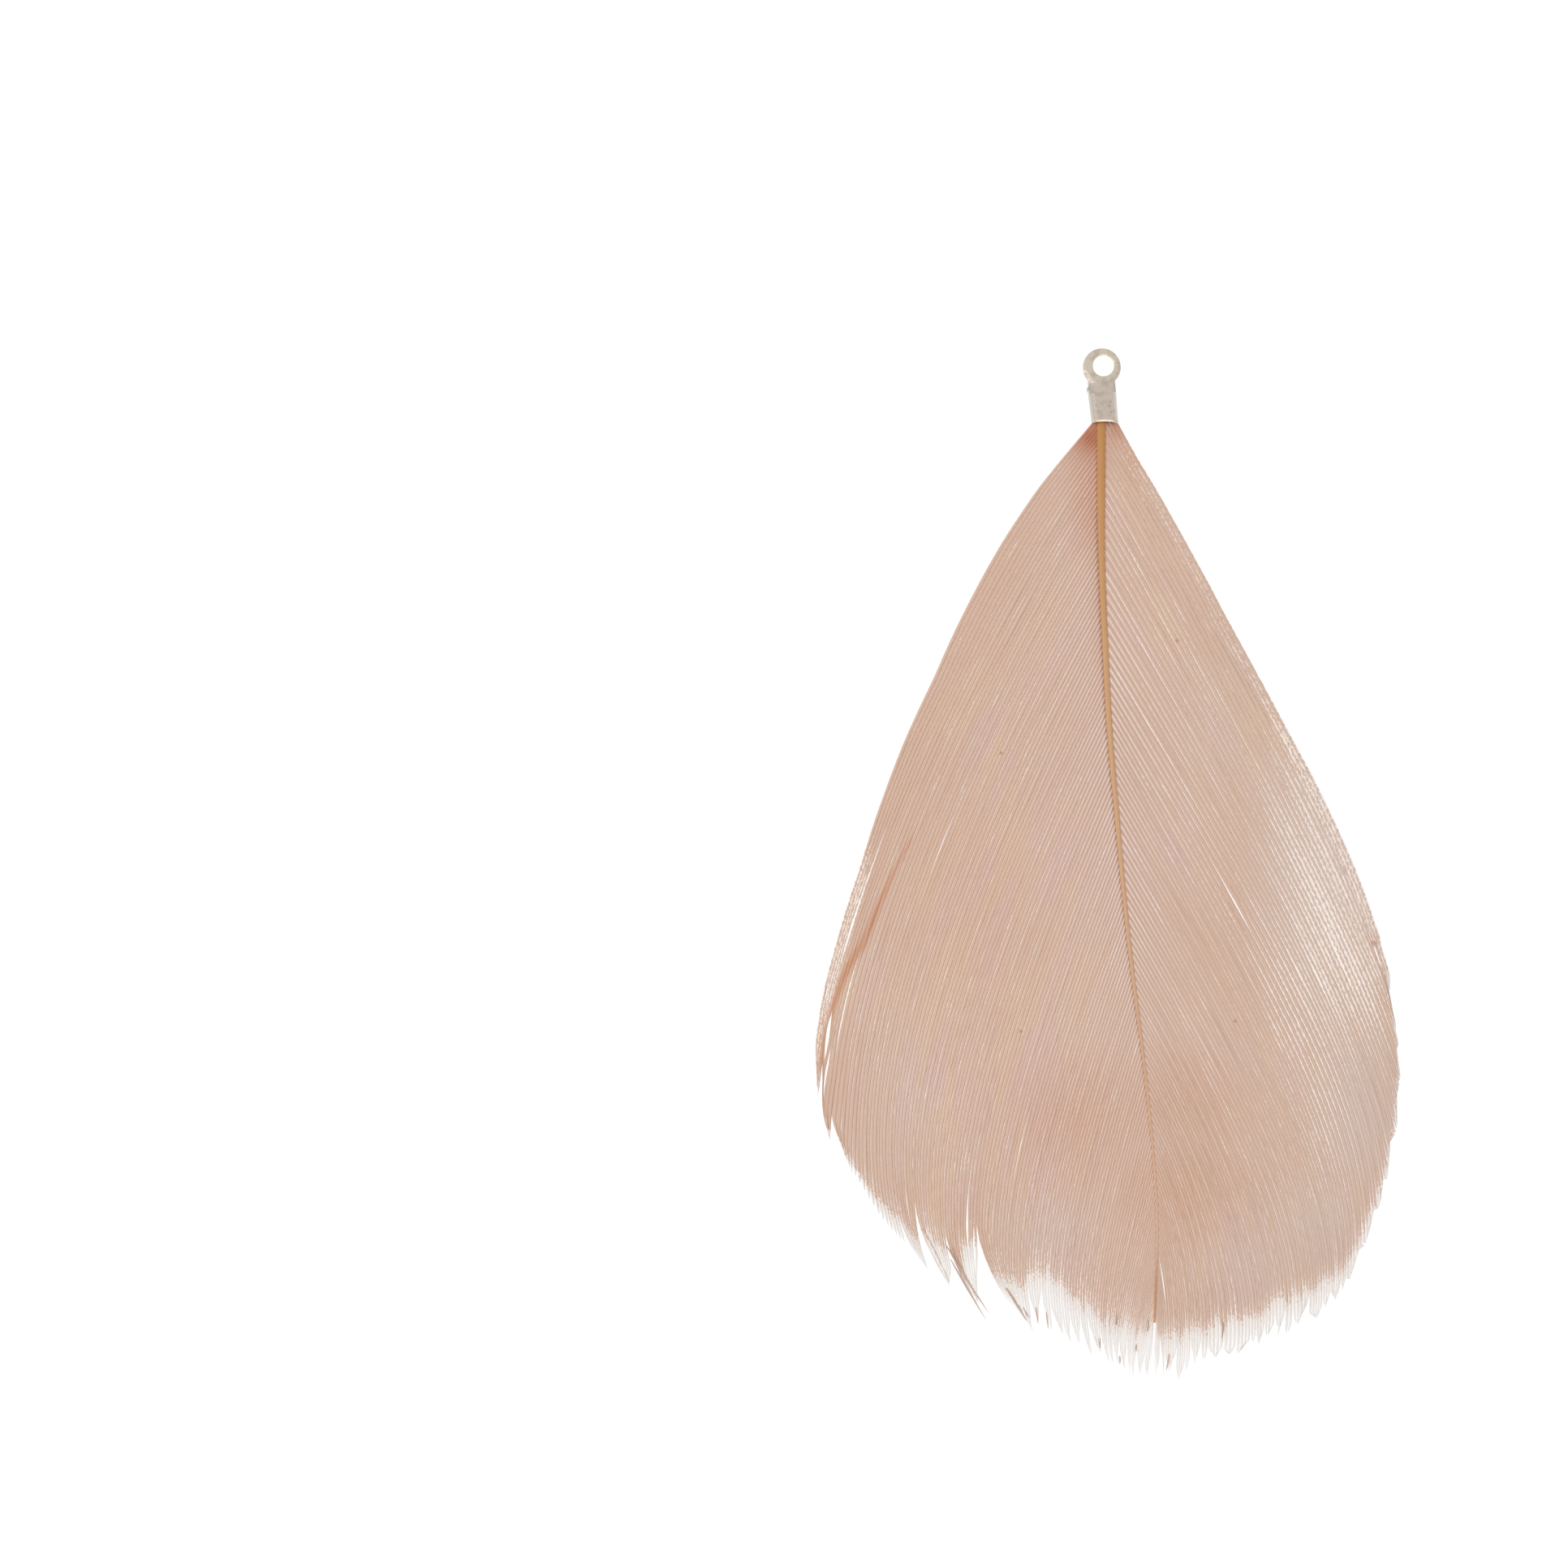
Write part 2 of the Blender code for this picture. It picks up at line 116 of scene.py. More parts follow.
rightVane = {
    "name": "right_vane_barbs",
    "side": 1,
    "seed": 23,
    "guides": ((0, 40.3, 28.7, 0.9, -15.4), (1, 42.3, 29.2, -1, -11.5), (2.2, 43.5, 29, -2, -7),
               (4.4, 44.7, 29, -2, -8), (9.9, 44.6, 30, -3, -14), (16.6, 42.9, 31, -3, -27),
               (21, 41.6, 30, -3, -32), (26.6, 37.4, 30, -4, -32), (32.2, 32.3, 30.5, -6, -31),
               (37.7, 27.0, 30, -10, -27), (43.3, 21.5, 29.5, -16, -20), (48.8, 16.1, 26, -25, -7),
               (54.4, 10.8, 19, -24, 0), (60, 4.8, 4, -6, 0), (64, 0.6, 0, 0, 0)),
    "flare": 0.85,
    "edgeShift": ((30.0, -0.08), (27.5, -0.08), (25.0, 0.05), (22.5, 0.05), (18.0, 0.0), (16.5, -0.08),
                  (8.0, -0.08), (6.0, 0.0), (-6.0, 0.0), (-7.6, 0.17), (-9.3, 0.21), (-11.0, 0.12), (-12.5, 0.0)),
    "pitch": ((0, 0.60), (3, 0.67), (7, 0.73), (11, 0.76), (15, 0.70), (20, 0.61), (28, 0.66), (36, 0.60), (44, 0.57),
              (52, 0.56), (64, 0.55)),
    "spacing": 0.335,
    "fringe": ((0, 0.3), (8, 0.4), (14, 0.6), (20, 1.2), (28, 1.8), (34, 2.0), (42, 1.9), (46, 2.1), (50, 2.4), (54, 2.7),
               (60, 2.5), (64, 3.1)),
    "mouthShade": (0.7, 29.7, 0.9, 0.60),
    "besideShaft": (0.0, 0.0),
    "nearBy": ((0, 0.2), (6, 0.35), (16, 0.9), (34, 1.0), (54, 0.15), (64, 0.1)),
    "notch": 0.10,
    "ragged": 0.28,
    "whiteAbove": 1.5,
    "linesDown": (-16.0, -5.0, 0.25),
    "lines": ((0, 0.25), (15, 0.28), (30, 0.25), (64, 0.22)),
    "linesOut": (0.42, 0.75, 0.55),
    "locks": ((56.0, 59.0, 57.4, 0.35, 2.4, 0.9),),
    "shorter": (),
    "further": ((0, 2.3), (1.0, 2.2), (2.0, 1.3), (3.0, 0.85), (5.0, 0.45), (10, 0.25), (14, 0.15), (22, 0.0),
                (30, -0.10), (46, 0.0), (54, 0.12), (64, 0.25)),
    "paleMargin": (0.9, -0.04, 0.30),
    "strays": (((2.89, -31.50), (2.88, -31.85), (2.86, -32.20), 0.05, 1.0),
               ((8.02, -31.60), (8.00, -32.20), (7.95, -32.75), 0.07, 1.0),
               ((2.08, -33.15), (2.07, -33.40), (2.06, -33.65), 0.05, 0.7),
               ((4.35, -33.80), (4.25, -34.40), (4.12, -34.95), 0.06, 0.25)),
    "slits": ((18.3, 0.35, 0.415, 0.12), (18.9, 0.47, 0.50, 0.07), (0.9, 0.955, 0.99, 0.06), (12.0, 0.62, 0.70, 0.05),
              (7.0, 0.74, 0.80, 0.05), (15.0, 0.57, 0.64, 0.05), (57.2, 0.05, 0.40, 0.05)),
    "fold": (),
    "fineUntil": 0.0,
}

# One barb: a ramus with a flange of barbules on either side, closed all round.
barb = {
    "firstRoot": 0.05,
    "lastRoot": 63.5,
    "ramusHalf": 0.16,      # of the pitch
    "flange": 0.497,        # half width in the closed vane, of the pitch
    "flangeOpen": 0.05,     # narrower by this where the lines are strong
    "lift": 0.13,           # middle of the barbs above the underside of the vane
    "ridge": 0.060,
    "keel": 0.055,
    "sheet": 0.022,         # thickness at the flange's edge
    "wave": 0.022,
    "drift": 0.012,
    "nearFades": 3.0,       # distance from the shaft over which the strong lines fade
    "segmentsPerMm": 0.52,
    "fineSegments": 1.6,
    "leastSegments": 10,
    "crowdEnds": 0.6,       # stations lie closer at both ends
    "calmEdge": 0.5,        # the lines are this much weaker along the lower margin
    "climb": 0.24,          # the barbs climb the shaft's side by this part of its radius
    "lockBarbs": (2, 5),
    "lockPull": 0.76,
    "tipSpread": 0.8,
    "fullRelief": 0.27,     # barbs that lie closer than this stand out less
}


def smoothThrough(keys, at):
    places, values = np.array(keys, float).T
    slopes = np.gradient(values, places)
    at = np.clip(np.asarray(at, float), places[0], places[-1])
    i = np.clip(np.searchsorted(places, at, side="right") - 1, 0, len(places) - 2)
    span = places[i + 1] - places[i]
    t = (at - places[i]) / span
    return ((2 * t**3 - 3 * t**2 + 1) * values[i] + (t**3 - 2 * t**2 + t) * span * slopes[i]
            + (3 * t**2 - 2 * t**3) * values[i + 1] + (t**3 - t**2) * span * slopes[i + 1])


def straightThrough(keys, at):
    places, values = np.array(keys, float).T
    return np.interp(at, places, values)


def easeBetween(low, high, at):
    t = np.clip((np.asarray(at, float) - low) / (high - low), 0, 1)
    return t * t * (3 - 2 * t)


gaussPlaces, gaussWeights = np.polynomial.legendre.leggauss(12)


def barbLength(vane, root):
    return smoothThrough([(guide[0], guide[1]) for guide in vane["guides"]], root)


# Where a barb from that root is, at that part of its whole length. Both may be arrays.
def barbPlace(vane, root, part):
    length, angle, bend, curl = (smoothThrough([(guide[0], guide[n]) for guide in vane["guides"]], root)
                                 for n in (1, 2, 3, 4))
    steps = np.asarray(part)[..., None] * (gaussPlaces + 1) / 2
    heading = np.radians(angle[..., None] + bend[..., None] * steps + curl[..., None] * steps ** shaftLine["curlPower"])
    across = (np.sin(heading) * gaussWeights).sum(-1) / 2 * part * length
    along = (np.cos(heading) * gaussWeights).sum(-1) / 2 * part * length
    start = smoothThrough(shaftLine["radius"], root) + vane["flare"] * np.exp(-root / shaftLine["flareFades"])
    x = smoothThrough(shaftLine["across"], root) + vane["side"] * (start + across)
    return x, shaftLine["top"] - root - along


# Height of the underside of the vane over the table.
def domeHeight(x, y):
    down = shaftLine["top"] - y
    out = x - smoothThrough(shaftLine["across"], down)
    free = smoothThrough(shaftLine["rise"], down) - shaftLine["sideSag"] * out**2
    return (free + np.sqrt(free**2 + shaftLine["landing"] ** 2)) / 2


# Distance between two barbs half way out, per millimetre between their roots.
def spread(vane, root, part):
    roots = np.array([root - 0.02, root + 0.02])
    x, y = barbPlace(vane, roots, np.full(2, part))
    headX, headY = barbPlace(vane, np.full(2, root), np.array([part - 0.005, part + 0.005]))
    stepX, stepY, aheadX, aheadY = x[1] - x[0], y[1] - y[0], headX[1] - headX[0], headY[1] - headY[0]
    return abs(stepX * aheadY - stepY * aheadX) / math.hypot(aheadX, aheadY) / 0.04


# Roots of the barbs down one side of the shaft, with the pitch at each: closer where the first ones fan out.
def rootPlaces(vane):
    roots, at = [], barb["firstRoot"]
    while at < barb["lastRoot"]:
        pitch = min(float(smoothThrough(vane["pitch"], at)), vane["spacing"] / spread(vane, at, 0.5))
        roots.append((at, pitch))
        at += pitch
    return roots


# The barbs gathered into locks: for each barb its lock's middle root, and how it gathers.
def shareLocks(vane, roots, chance):
    shares, n = {}, 0
    while n < len(roots):
        root = roots[n][0]
        named = [lock for lock in vane["locks"] if lock[0] <= root <= lock[1]]
        if named:
            first, last, tip, longer, over, pull = named[0]
            while n < len(roots) and roots[n][0] <= last:
                shares[n] = (tip, max(tip - first, abs(last - tip)), longer, over, pull, chance.random())
                n += 1
            continue
        count = int(chance.integers(barb["lockBarbs"][0], barb["lockBarbs"][1] + 1))
        members = range(n, min(n + count, len(roots)))
        first, last = roots[members[0]][0], roots[members[-1]][0]
        tip = first + (last - first) * (0.3 + 0.5 * chance.random())
        fringe = float(straightThrough(vane["fringe"], root))
        longer = 0.10 + fringe * (0.18 - vane["ragged"] * chance.random() ** 1.5)
        over = min(fringe, 2.3) * (vane["notch"] + 0.3 * chance.random()) + 0.1
        for member in members:
            half = max(tip - first, last - tip, 0.3)
            shares[member] = (tip, half, longer, over, barb["lockPull"] * (0.75 + 0.3 * chance.random()), chance.random())
        n += count
    return shares


# How far the slits push a barb sideways, as a shift of its root.
def slitPush(vane, number, roots, part):
    push = np.zeros_like(part)
    for root, first, last, width in vane["slits"]:
        edge = min(range(len(roots)), key=lambda k: abs(roots[k][0] - root))
        steps = number - edge + 0.5
        gape = np.sin(np.pi * np.clip((part - first) / (last - first), 0, 1)) ** 0.8
        half = width / 2 / spread(vane, root, (first + last) / 2)
        push += math.copysign(1, steps) * half * gape * math.exp(-(abs(steps) - 0.5) / 1.6)
    return push


def growVane(vane):
    chance = np.random.default_rng(vane["seed"])
    roots = rootPlaces(vane)
    shares = shareLocks(vane, roots, chance)
    points, faces = [], []
    marks = {name: [] for name in ("across", "fringe", "dark", "lines", "near", "crease", "root", "along")}
    if vane["fold"]:
        foldRoot, foldPart, foldHalf = np.array(vane["fold"]).T
        foldX, foldY = barbPlace(vane, foldRoot, foldPart)
        finer = np.linspace(0, len(foldX) - 1, 90)
        foldX, foldY, foldHalf = (np.interp(finer, range(len(foldX)), values) for values in (foldX, foldY, foldHalf))
    for number, (root, pitch) in enumerate(roots):
        tip, half, longer, over, pull, luck = shares[number]
        length = float(barbLength(vane, root))
        tipAt = length + float(straightThrough(vane["further"], root))
        away = abs(root - tip) / half
        reach = tipAt + longer - barb["tipSpread"] * min(over, 1.0) ** 1.5 * away**1.3 + 0.10 * (luck - 0.5)
        if vane["shorter"]:
            reach -= float(straightThrough(vane["shorter"], root))
        reach = min(reach, tipAt + 0.8)
        lean = math.radians(float(smoothThrough([(guide[0], guide[2]) for guide in vane["guides"]], root)))
        back = 0.12 + min((root + 0.3) / math.cos(lean), vane["flare"] * math.exp(-root / shaftLine["flareFades"]) / math.sin(lean + 0.05))
        finer = barb["fineSegments"] if root < vane["fineUntil"] else barb["segmentsPerMm"]
        count = int(barb["leastSegments"] + finer * reach)
        t = np.linspace(0, 1, count + 1)
        t = t - barb["crowdEnds"] * np.sin(2 * np.pi * t) / (2 * np.pi)
        along = -back + t * (reach + back)
        part = along / length
        toTip = reach - along
        fringe = float(straightThrough(vane["fringe"], root)) * (1 + 0.05 * math.sin(2.3 * root) + 0.05 * math.sin(0.7 * root + 2))
        pale = fringe + 0.30 * (chance.random() - 0.5) + 0.9 * chance.random() ** 7 - (tipAt - reach) * 0.6 - toTip
        gather = pull * np.clip(1 - toTip / over, 0, 1) ** 1.4
        middleY = barbPlace(vane, np.full(count + 1, root), part)[1]
        down = vane["linesDown"][2] + (1 - vane["linesDown"][2]) * easeBetween(vane["linesDown"][0], vane["linesDown"][1], middleY)
        lines = straightThrough(vane["lines"], root) + down * vane["linesOut"][2] * easeBetween(
            vane["linesOut"][0], vane["linesOut"][1], part) * (1 - easeBetween(20, 34, root))
        crowd = np.interp(part, (0.2, 0.5, 0.9), [spread(vane, root, place) for place in (0.2, 0.5, 0.9)])
        relief = np.minimum(1, crowd * pitch / barb["fullRelief"])[:, None]
        edgeRoot, edgePart, edgeMore = vane["paleMargin"]
        lines = lines + edgeMore * float(1 - easeBetween(0.6 * edgeRoot, edgeRoot, root)) * easeBetween(edgePart, edgePart + 0.1, part)
        calm = barb["calmEdge"] * easeBetween(0.72, 0.92, part) * (1 - easeBetween(-15, -9, middleY))
        lines = lines * (1 - calm)
        whiter = 0.40 * float(0.3 + 0.7 * easeBetween(7, 14, root))
        lines = lines + whiter * easeBetween(-vane["whiteAbove"], -0.1, pale)
        lines = np.minimum(lines * (0.75 + 0.5 * chance.random()), 0.9)
        width = barb["flange"] - barb["flangeOpen"] * lines
        width = width * (1 - 0.08 * easeBetween(-0.2, 0.4, pale))
        width = width * (1 - 0.80 * easeBetween(0, 1, 1 - toTip / max(0.5, 0.30 * over)))
        ramus = np.minimum(barb["ramusHalf"], 0.5 * width)
        drift = barb["drift"] * (np.sin(0.31 * along + 6.3 * luck) + 0.6 * np.sin(0.83 * along + 17 * luck))
        slit = slitPush(vane, number, roots, part)
        across = np.empty((count + 1, 8))
        across[:, [0, 7]] = -width[:, None]
        across[:, [4, 5]] = width[:, None]
        across[:, 1], across[:, 3] = -ramus, ramus
        across[:, [2, 6]] = 0
        where = root + pitch * (across + drift[:, None] * easeBetween(0, 3, along)[:, None])
        where = np.clip(tip + (where - tip) * (1 - gather[:, None]) + slit[:, None], -0.1, 64.0)
        x, y = barbPlace(vane, where, np.repeat(part[:, None], 8, 1))
        heights, shifts = np.array(vane["edgeShift"][::-1]).T
        x = x + np.interp(y, heights, shifts) * np.exp(-(np.maximum(where, 0) / 2.5) ** 1.5)
        thin = (1 - 0.55 * easeBetween(0, 1, 1 - toTip / max(0.8, over)))[:, None]
        rise = np.array([[0.004, 0.016, barb["ridge"], 0.016, -0.004, -barb["sheet"] - 0.004, -barb["keel"],
                          -barb["sheet"] + 0.004]]) * thin * relief
        jitter = 0.012 * (chance.random() - 0.5) + 0.01 * np.sin(0.5 * along + 9 * luck)
        swell = barb["wave"] * (np.sin(1.15 * where + 0.16 * along[:, None]) + 0.7 * np.sin(0.47 * where - 0.31 * along[:, None] + 2))
        out = easeBetween(0, 2.5, along)[:, None]
        z = domeHeight(x, y) + barb["lift"] + rise + (swell + jitter[:, None]) * out
        climb = barb["climb"] * float(smoothThrough(shaftLine["radius"], root))
        z += (climb * np.exp(-(np.maximum(along, 0) * math.sin(lean) / 0.4) ** 2))[:, None]
        dark = np.zeros_like(x)
        mouthX, mouthY, mouthSize, mouthDark = vane["mouthShade"]
        dark += mouthDark * np.exp(-(np.hypot((x - mouthX) / 1.2, (y - mouthY) * 0.8) / mouthSize) ** 1.6)
        rootDark, redBeside = vane["besideShaft"]
        rootDark *= 1 - float(easeBetween(38, 52, root))
        redBeside *= 1 - float(easeBetween(12, 24, root))
        dark += (redBeside * np.exp(-(np.maximum(along, 0) * math.sin(lean) / 0.55) ** 2))[:, None]
        dark += rootDark * np.exp(-(np.maximum(along, 0) / 0.16) ** 1.5)[:, None] * (np.abs(across) < 0.3)
        near = np.exp(-np.maximum(along, 0) * math.sin(lean) / barb["nearFades"]) * float(straightThrough(vane["nearBy"], root))
        creased = np.zeros_like(x)
        if vane["fold"] and root < vane["fineUntil"]:
            away = np.sqrt((x[..., None] - foldX) ** 2 + (y[..., None] - foldY) ** 2) / foldHalf
            creased = np.exp(-away.min(-1) ** 3)
            z += 0.03 * creased
        start = sum(len(made) for made in points)
        points.append(np.stack([x, y, z], -1).reshape(-1, 3))
        ring = start + np.arange(8)
        for k in range(count):
            a, b = ring + 8 * k, ring + 8 * (k + 1)
            faces += [(a[j], a[(j + 1) % 8], b[(j + 1) % 8], b[j]) for j in range(8)]
        faces += [tuple(ring[::-1]), tuple(ring + 8 * count)]
        marks["across"].append((across / width[:, None]).ravel())
        marks["fringe"].append(np.repeat(pale, 8))
        marks["dark"].append(dark.ravel())
        marks["lines"].append(np.repeat(lines, 8))
        marks["near"].append(np.repeat(near, 8))
        marks["crease"].append(creased.ravel())
        marks["root"].append(where.ravel())
        marks["along"].append(np.repeat(along, 8))
    for first, middle, last, half, dark in vane["strays"]:
        addStray(points, faces, marks, np.array([first, middle, last]), half, dark)
    return np.concatenate(points), faces, {name: np.concatenate(values) for name, values in marks.items()}


# A single barb lying on the others, through three points, as a thin closed strip.
def addStray(points, faces, marks, through, half, dark):
    t = np.linspace(0, 1, 13)[:, None]
    line = (1 - t) ** 2 * through[0] + 2 * t * (1 - t) * (2 * through[1] - (through[0] + through[2]) / 2) + t**2 * through[2]
    ahead = np.gradient(line, axis=0)
    ahead /= np.hypot(ahead[:, 0], ahead[:, 1])[:, None]
    width = half * np.sin(np.pi * np.clip(0.12 + 0.86 * t, 0, 1)) ** 0.7
    aside = np.stack([-ahead[:, 1], ahead[:, 0]], 1)
    ring = []
    for out, up in ((-1, 0), (0, 0.03), (1, 0), (0, -0.03)):
        place = line + out * width * aside
        level = domeHeight(place[:, 0], place[:, 1]) + barb["lift"] + 0.5 * barb["ridge"] + up
        ring.append(np.stack([place[:, 0], place[:, 1], level], 1))
    start = sum(len(made) for made in points)
    points.append(np.stack(ring, 1).reshape(-1, 3))
    count = len(t) - 1
    for k in range(count):
        a = start + 4 * k
        faces += [(a + j, a + (j + 1) % 4, a + 4 + (j + 1) % 4, a + 4 + j) for j in range(4)]
    faces += [tuple(start + j for j in (3, 2, 1, 0)), tuple(start + 4 * count + j for j in range(4))]
    amount = 4 * (count + 1)
    for name, value in (("across", 0.0), ("fringe", -0.5), ("dark", 0.0), ("lines", 0.0), ("near", -dark), ("crease", 0.0)):
        marks[name].append(np.full(amount, value))
    marks["root"].append(np.repeat(line[:, 0], 4))
    marks["along"].append(np.repeat(line[:, 1], 4))


def settle(obj):
    bpy.ops.object.select_all(action="DESELECT")
    obj.select_set(True)
    bpy.context.view_layer.objects.active = obj


def outwardFaces(obj):
    settle(obj)
    bpy.ops.object.mode_set(mode="EDIT")
    bpy.ops.mesh.select_all(action="SELECT")
    bpy.ops.mesh.normals_make_consistent(inside=False)
    bpy.ops.object.mode_set(mode="OBJECT")


def meshFrom(name, points, faces, marks):
    mesh = bpy.data.meshes.new(name)
    mesh.from_pydata(points * mm, [], faces)
    obj = bpy.data.objects.new(name, mesh)
    bpy.context.scene.collection.objects.link(obj)
    outwardFaces(obj)
    for mark in ("across", "fringe", "dark", "lines", "near", "crease"):
        layer = mesh.attributes.new(mark, "FLOAT", "POINT")
        layer.data.foreach_set("value", marks[mark].astype(np.float32))
    corner = np.empty(len(mesh.loops), int)
    mesh.loops.foreach_get("vertex_index", corner)
    places = np.stack([marks["root"], marks["along"]], 1)[corner] / 10
    mesh.uv_layers.new(name="barbs").data.foreach_set("uv", places.astype(np.float32).ravel())
    mesh.shade_smooth()
    return obj


def paint(red, green, blue):
    return tuple(((c / 255 + 0.055) / 1.055) ** 2.4 if c > 10 else c / 255 / 12.92 for c in (red, green, blue)) + (1,)


# Node building: one call adds a node, sets its inputs and links what is given as a socket.
def addNode(tree, kind, settings=None, **inputs):
    node = tree.nodes.new(kind)
    for key, value in (settings or {}).items():
        setattr(node, key, value)
    for key, value in inputs.items():
        socket = node.inputs[int(key[1:])] if key[0] == "i" and key[1:].isdigit() else node.inputs[key.replace("_", " ")]
        if isinstance(value, bpy.types.NodeSocket):
            tree.links.new(value, socket)
        else:
            socket.default_value = value
    return node


def sums(tree, operation, a, b=0.0, clamp=False):
    return addNode(tree, "ShaderNodeMath", {"operation": operation, "use_clamp": clamp}, i0=a, i1=b).outputs[0]


def blendColours(tree, share, under, over, kind="MIX"):
    node = tree.nodes.new("ShaderNodeMix")
    node.data_type = "RGBA"
    node.blend_type = kind
    for socket, value in ((node.inputs[0], share), (node.inputs[6], under), (node.inputs[7], over)):
        if isinstance(value, bpy.types.NodeSocket):
            tree.links.new(value, socket)
        else:
            socket.default_value = value
    return node.outputs[2]


def rampOf(tree, fac, stops):
    node = tree.nodes.new("ShaderNodeValToRGB")
    tree.links.new(fac, node.inputs[0])
    stopsMade = node.color_ramp.elements
    while len(stopsMade) < len(stops):
        stopsMade.new(0.5)
    for made, (place, value) in zip(stopsMade, stops):
        made.position = place
        made.color = value if isinstance(value, tuple) else (value, value, value, 1)
    return node.outputs[0]


def mapRange(tree, value, low, high, toLow=0.0, toHigh=1.0, smooth=True):
    kind = {"interpolation_type": "SMOOTHSTEP" if smooth else "LINEAR"}
    return addNode(tree, "ShaderNodeMapRange", kind, Value=value, i1=low, i2=high, i3=toLow, i4=toHigh).outputs[0]


def attribute(tree, name):
    return addNode(tree, "ShaderNodeAttribute", {"attribute_name": name, "attribute_type": "GEOMETRY"}).outputs["Fac"]


def newMaterial(name):
    material = bpy.data.materials.new(name)
    material.use_nodes = True
    tree = material.node_tree
    return material, tree, tree.nodes["Principled BSDF"]


# Long soft streaks and a fine grain, as dye takes in keratin. Used by the barbs and the shaft.
def dyeGroup():
    group = bpy.data.node_groups.new("dye streaks", "ShaderNodeTree")
    faceIn, faceOut = "INPUT", "OUTPUT"
    group.interface.new_socket("Place", in_out=faceIn, socket_type="NodeSocketVector")
    for name, value in (("Across", 1.0), ("Along", 1.0), ("Grain", 30.0)):
        socket = group.interface.new_socket(name, in_out=faceIn, socket_type="NodeSocketFloat")
        socket.default_value = value
    group.interface.new_socket("Streaks", in_out=faceOut, socket_type="NodeSocketFloat")
    group.interface.new_socket("Grain", in_out=faceOut, socket_type="NodeSocketFloat")
    given = group.nodes.new("NodeGroupInput")
    result = group.nodes.new("NodeGroupOutput")
    scale = addNode(group, "ShaderNodeCombineXYZ", X=given.outputs["Across"], Y=given.outputs["Along"], Z=1.0).outputs[0]
    place = addNode(group, "ShaderNodeVectorMath", {"operation": "MULTIPLY"}, i0=given.outputs["Place"], i1=scale).outputs[0]
    streaks = addNode(group, "ShaderNodeTexNoise", Vector=place, Scale=1.0, Detail=3.0, Roughness=0.6).outputs[0]
    grain = addNode(group, "ShaderNodeTexNoise", Vector=given.outputs["Place"], Scale=given.outputs["Grain"],
                    Detail=1.0, Roughness=0.5).outputs[0]
    group.links.new(streaks, result.inputs["Streaks"])
    group.links.new(grain, result.inputs["Grain"])
    return group


def placeDye(tree, group, place, across, along, grain):
    node = tree.nodes.new("ShaderNodeGroup")
    node.node_tree = group
    tree.links.new(place, node.inputs["Place"])
    for name, value in (("Across", across), ("Along", along), ("Grain", grain)):
        node.inputs[name].default_value = value
    return node.outputs["Streaks"], node.outputs["Grain"]


barbLook = {
    "peach": paint(212, 180, 160),
    "beige": paint(215, 184, 160),
    "pink": paint(213, 181, 167),
    "nearShaft": paint(217, 188, 174),
    "blush": paint(208, 163, 140),
    # Colour of the painted bright lines between barbs, standing in for the table's light showing through.
    "light": paint(246, 236, 228),
    "folded": paint(183, 121, 93),
    "crease": paint(197, 140, 104),
    "stray": paint(186, 160, 144),
    "rosy": paint(213, 189, 176),
    # The fringe's whitish colours: partly the bare barbs' own paleness, partly painted backlight from the table.
    "fringe": paint(244, 241, 238),
    "fringeStart": paint(234, 225, 219),
    "fringeLine": paint(226, 215, 208),
    "roughness": 0.58,
    # Warmer places on the vane: middle x and y, half width and half height, strength.
    "blushes": ((4.8, -22.5, 5.0, 4.5, 0.62), (-2.2, -17.5, 5.5, 5.0, 0.55), (-1.3, 25.0, 1.6, 5.5, 0.75),
                (4.6, -16.5, 5.5, 4.0, 0.50), (-9.0, -3.0, 5.0, 7.0, 0.20), (1.9, 27.6, 1.1, 2.4, 0.5)),
    "rosies": ((15.0, 0.0, 6.0, 13.0, 1.0), (17.5, -17.0, 4.0, 8.0, 0.9), (-15.0, -17.0, 4.5, 8.0, 0.3), (8.0, 10.0, 4.0, 8.0, 0.3),
               (11.0, -28.0, 5.0, 4.0, 0.7), (15.0, -25.5, 5.0, 5.0, 0.8), (-4.0, -25.5, 5.0, 3.2, 0.6)),
    "specks": ((4.75, 15.06, 0.16, 0.16, 0.8), (-7.25, 7.39, 0.15, 0.15, 0.8), (-5.92, -11.60, 0.15, 0.15, 0.8),
               (8.69, -10.90, 0.15, 0.15, 0.8), (18.25, -5.65, 0.30, 0.36, 0.5)),
}


# A soft round patch on the object, as a mask from 0 to 1.
def softPatch(tree, place, unit, x, y, halfWidth, halfHeight, strength):
    shifted = addNode(tree, "ShaderNodeVectorMath", {"operation": "SUBTRACT"}, i0=place, i1=(x * unit, y * unit, 0)).outputs[0]
    scaled = addNode(tree, "ShaderNodeVectorMath", {"operation": "MULTIPLY"}, i0=shifted,
                     i1=(1 / halfWidth / unit, 1 / halfHeight / unit, 0)).outputs[0]
    away = addNode(tree, "ShaderNodeVectorMath", {"operation": "LENGTH"}, i0=scaled).outputs["Value"]
    return mapRange(tree, away, 1.25, 0.0, 0.0, strength)


def patches(tree, place, listed, unit=mm):
    total = None
    for one in listed:
        mask = softPatch(tree, place, unit, *one)
        total = mask if total is None else sums(tree, "MAXIMUM", total, mask)
    return total


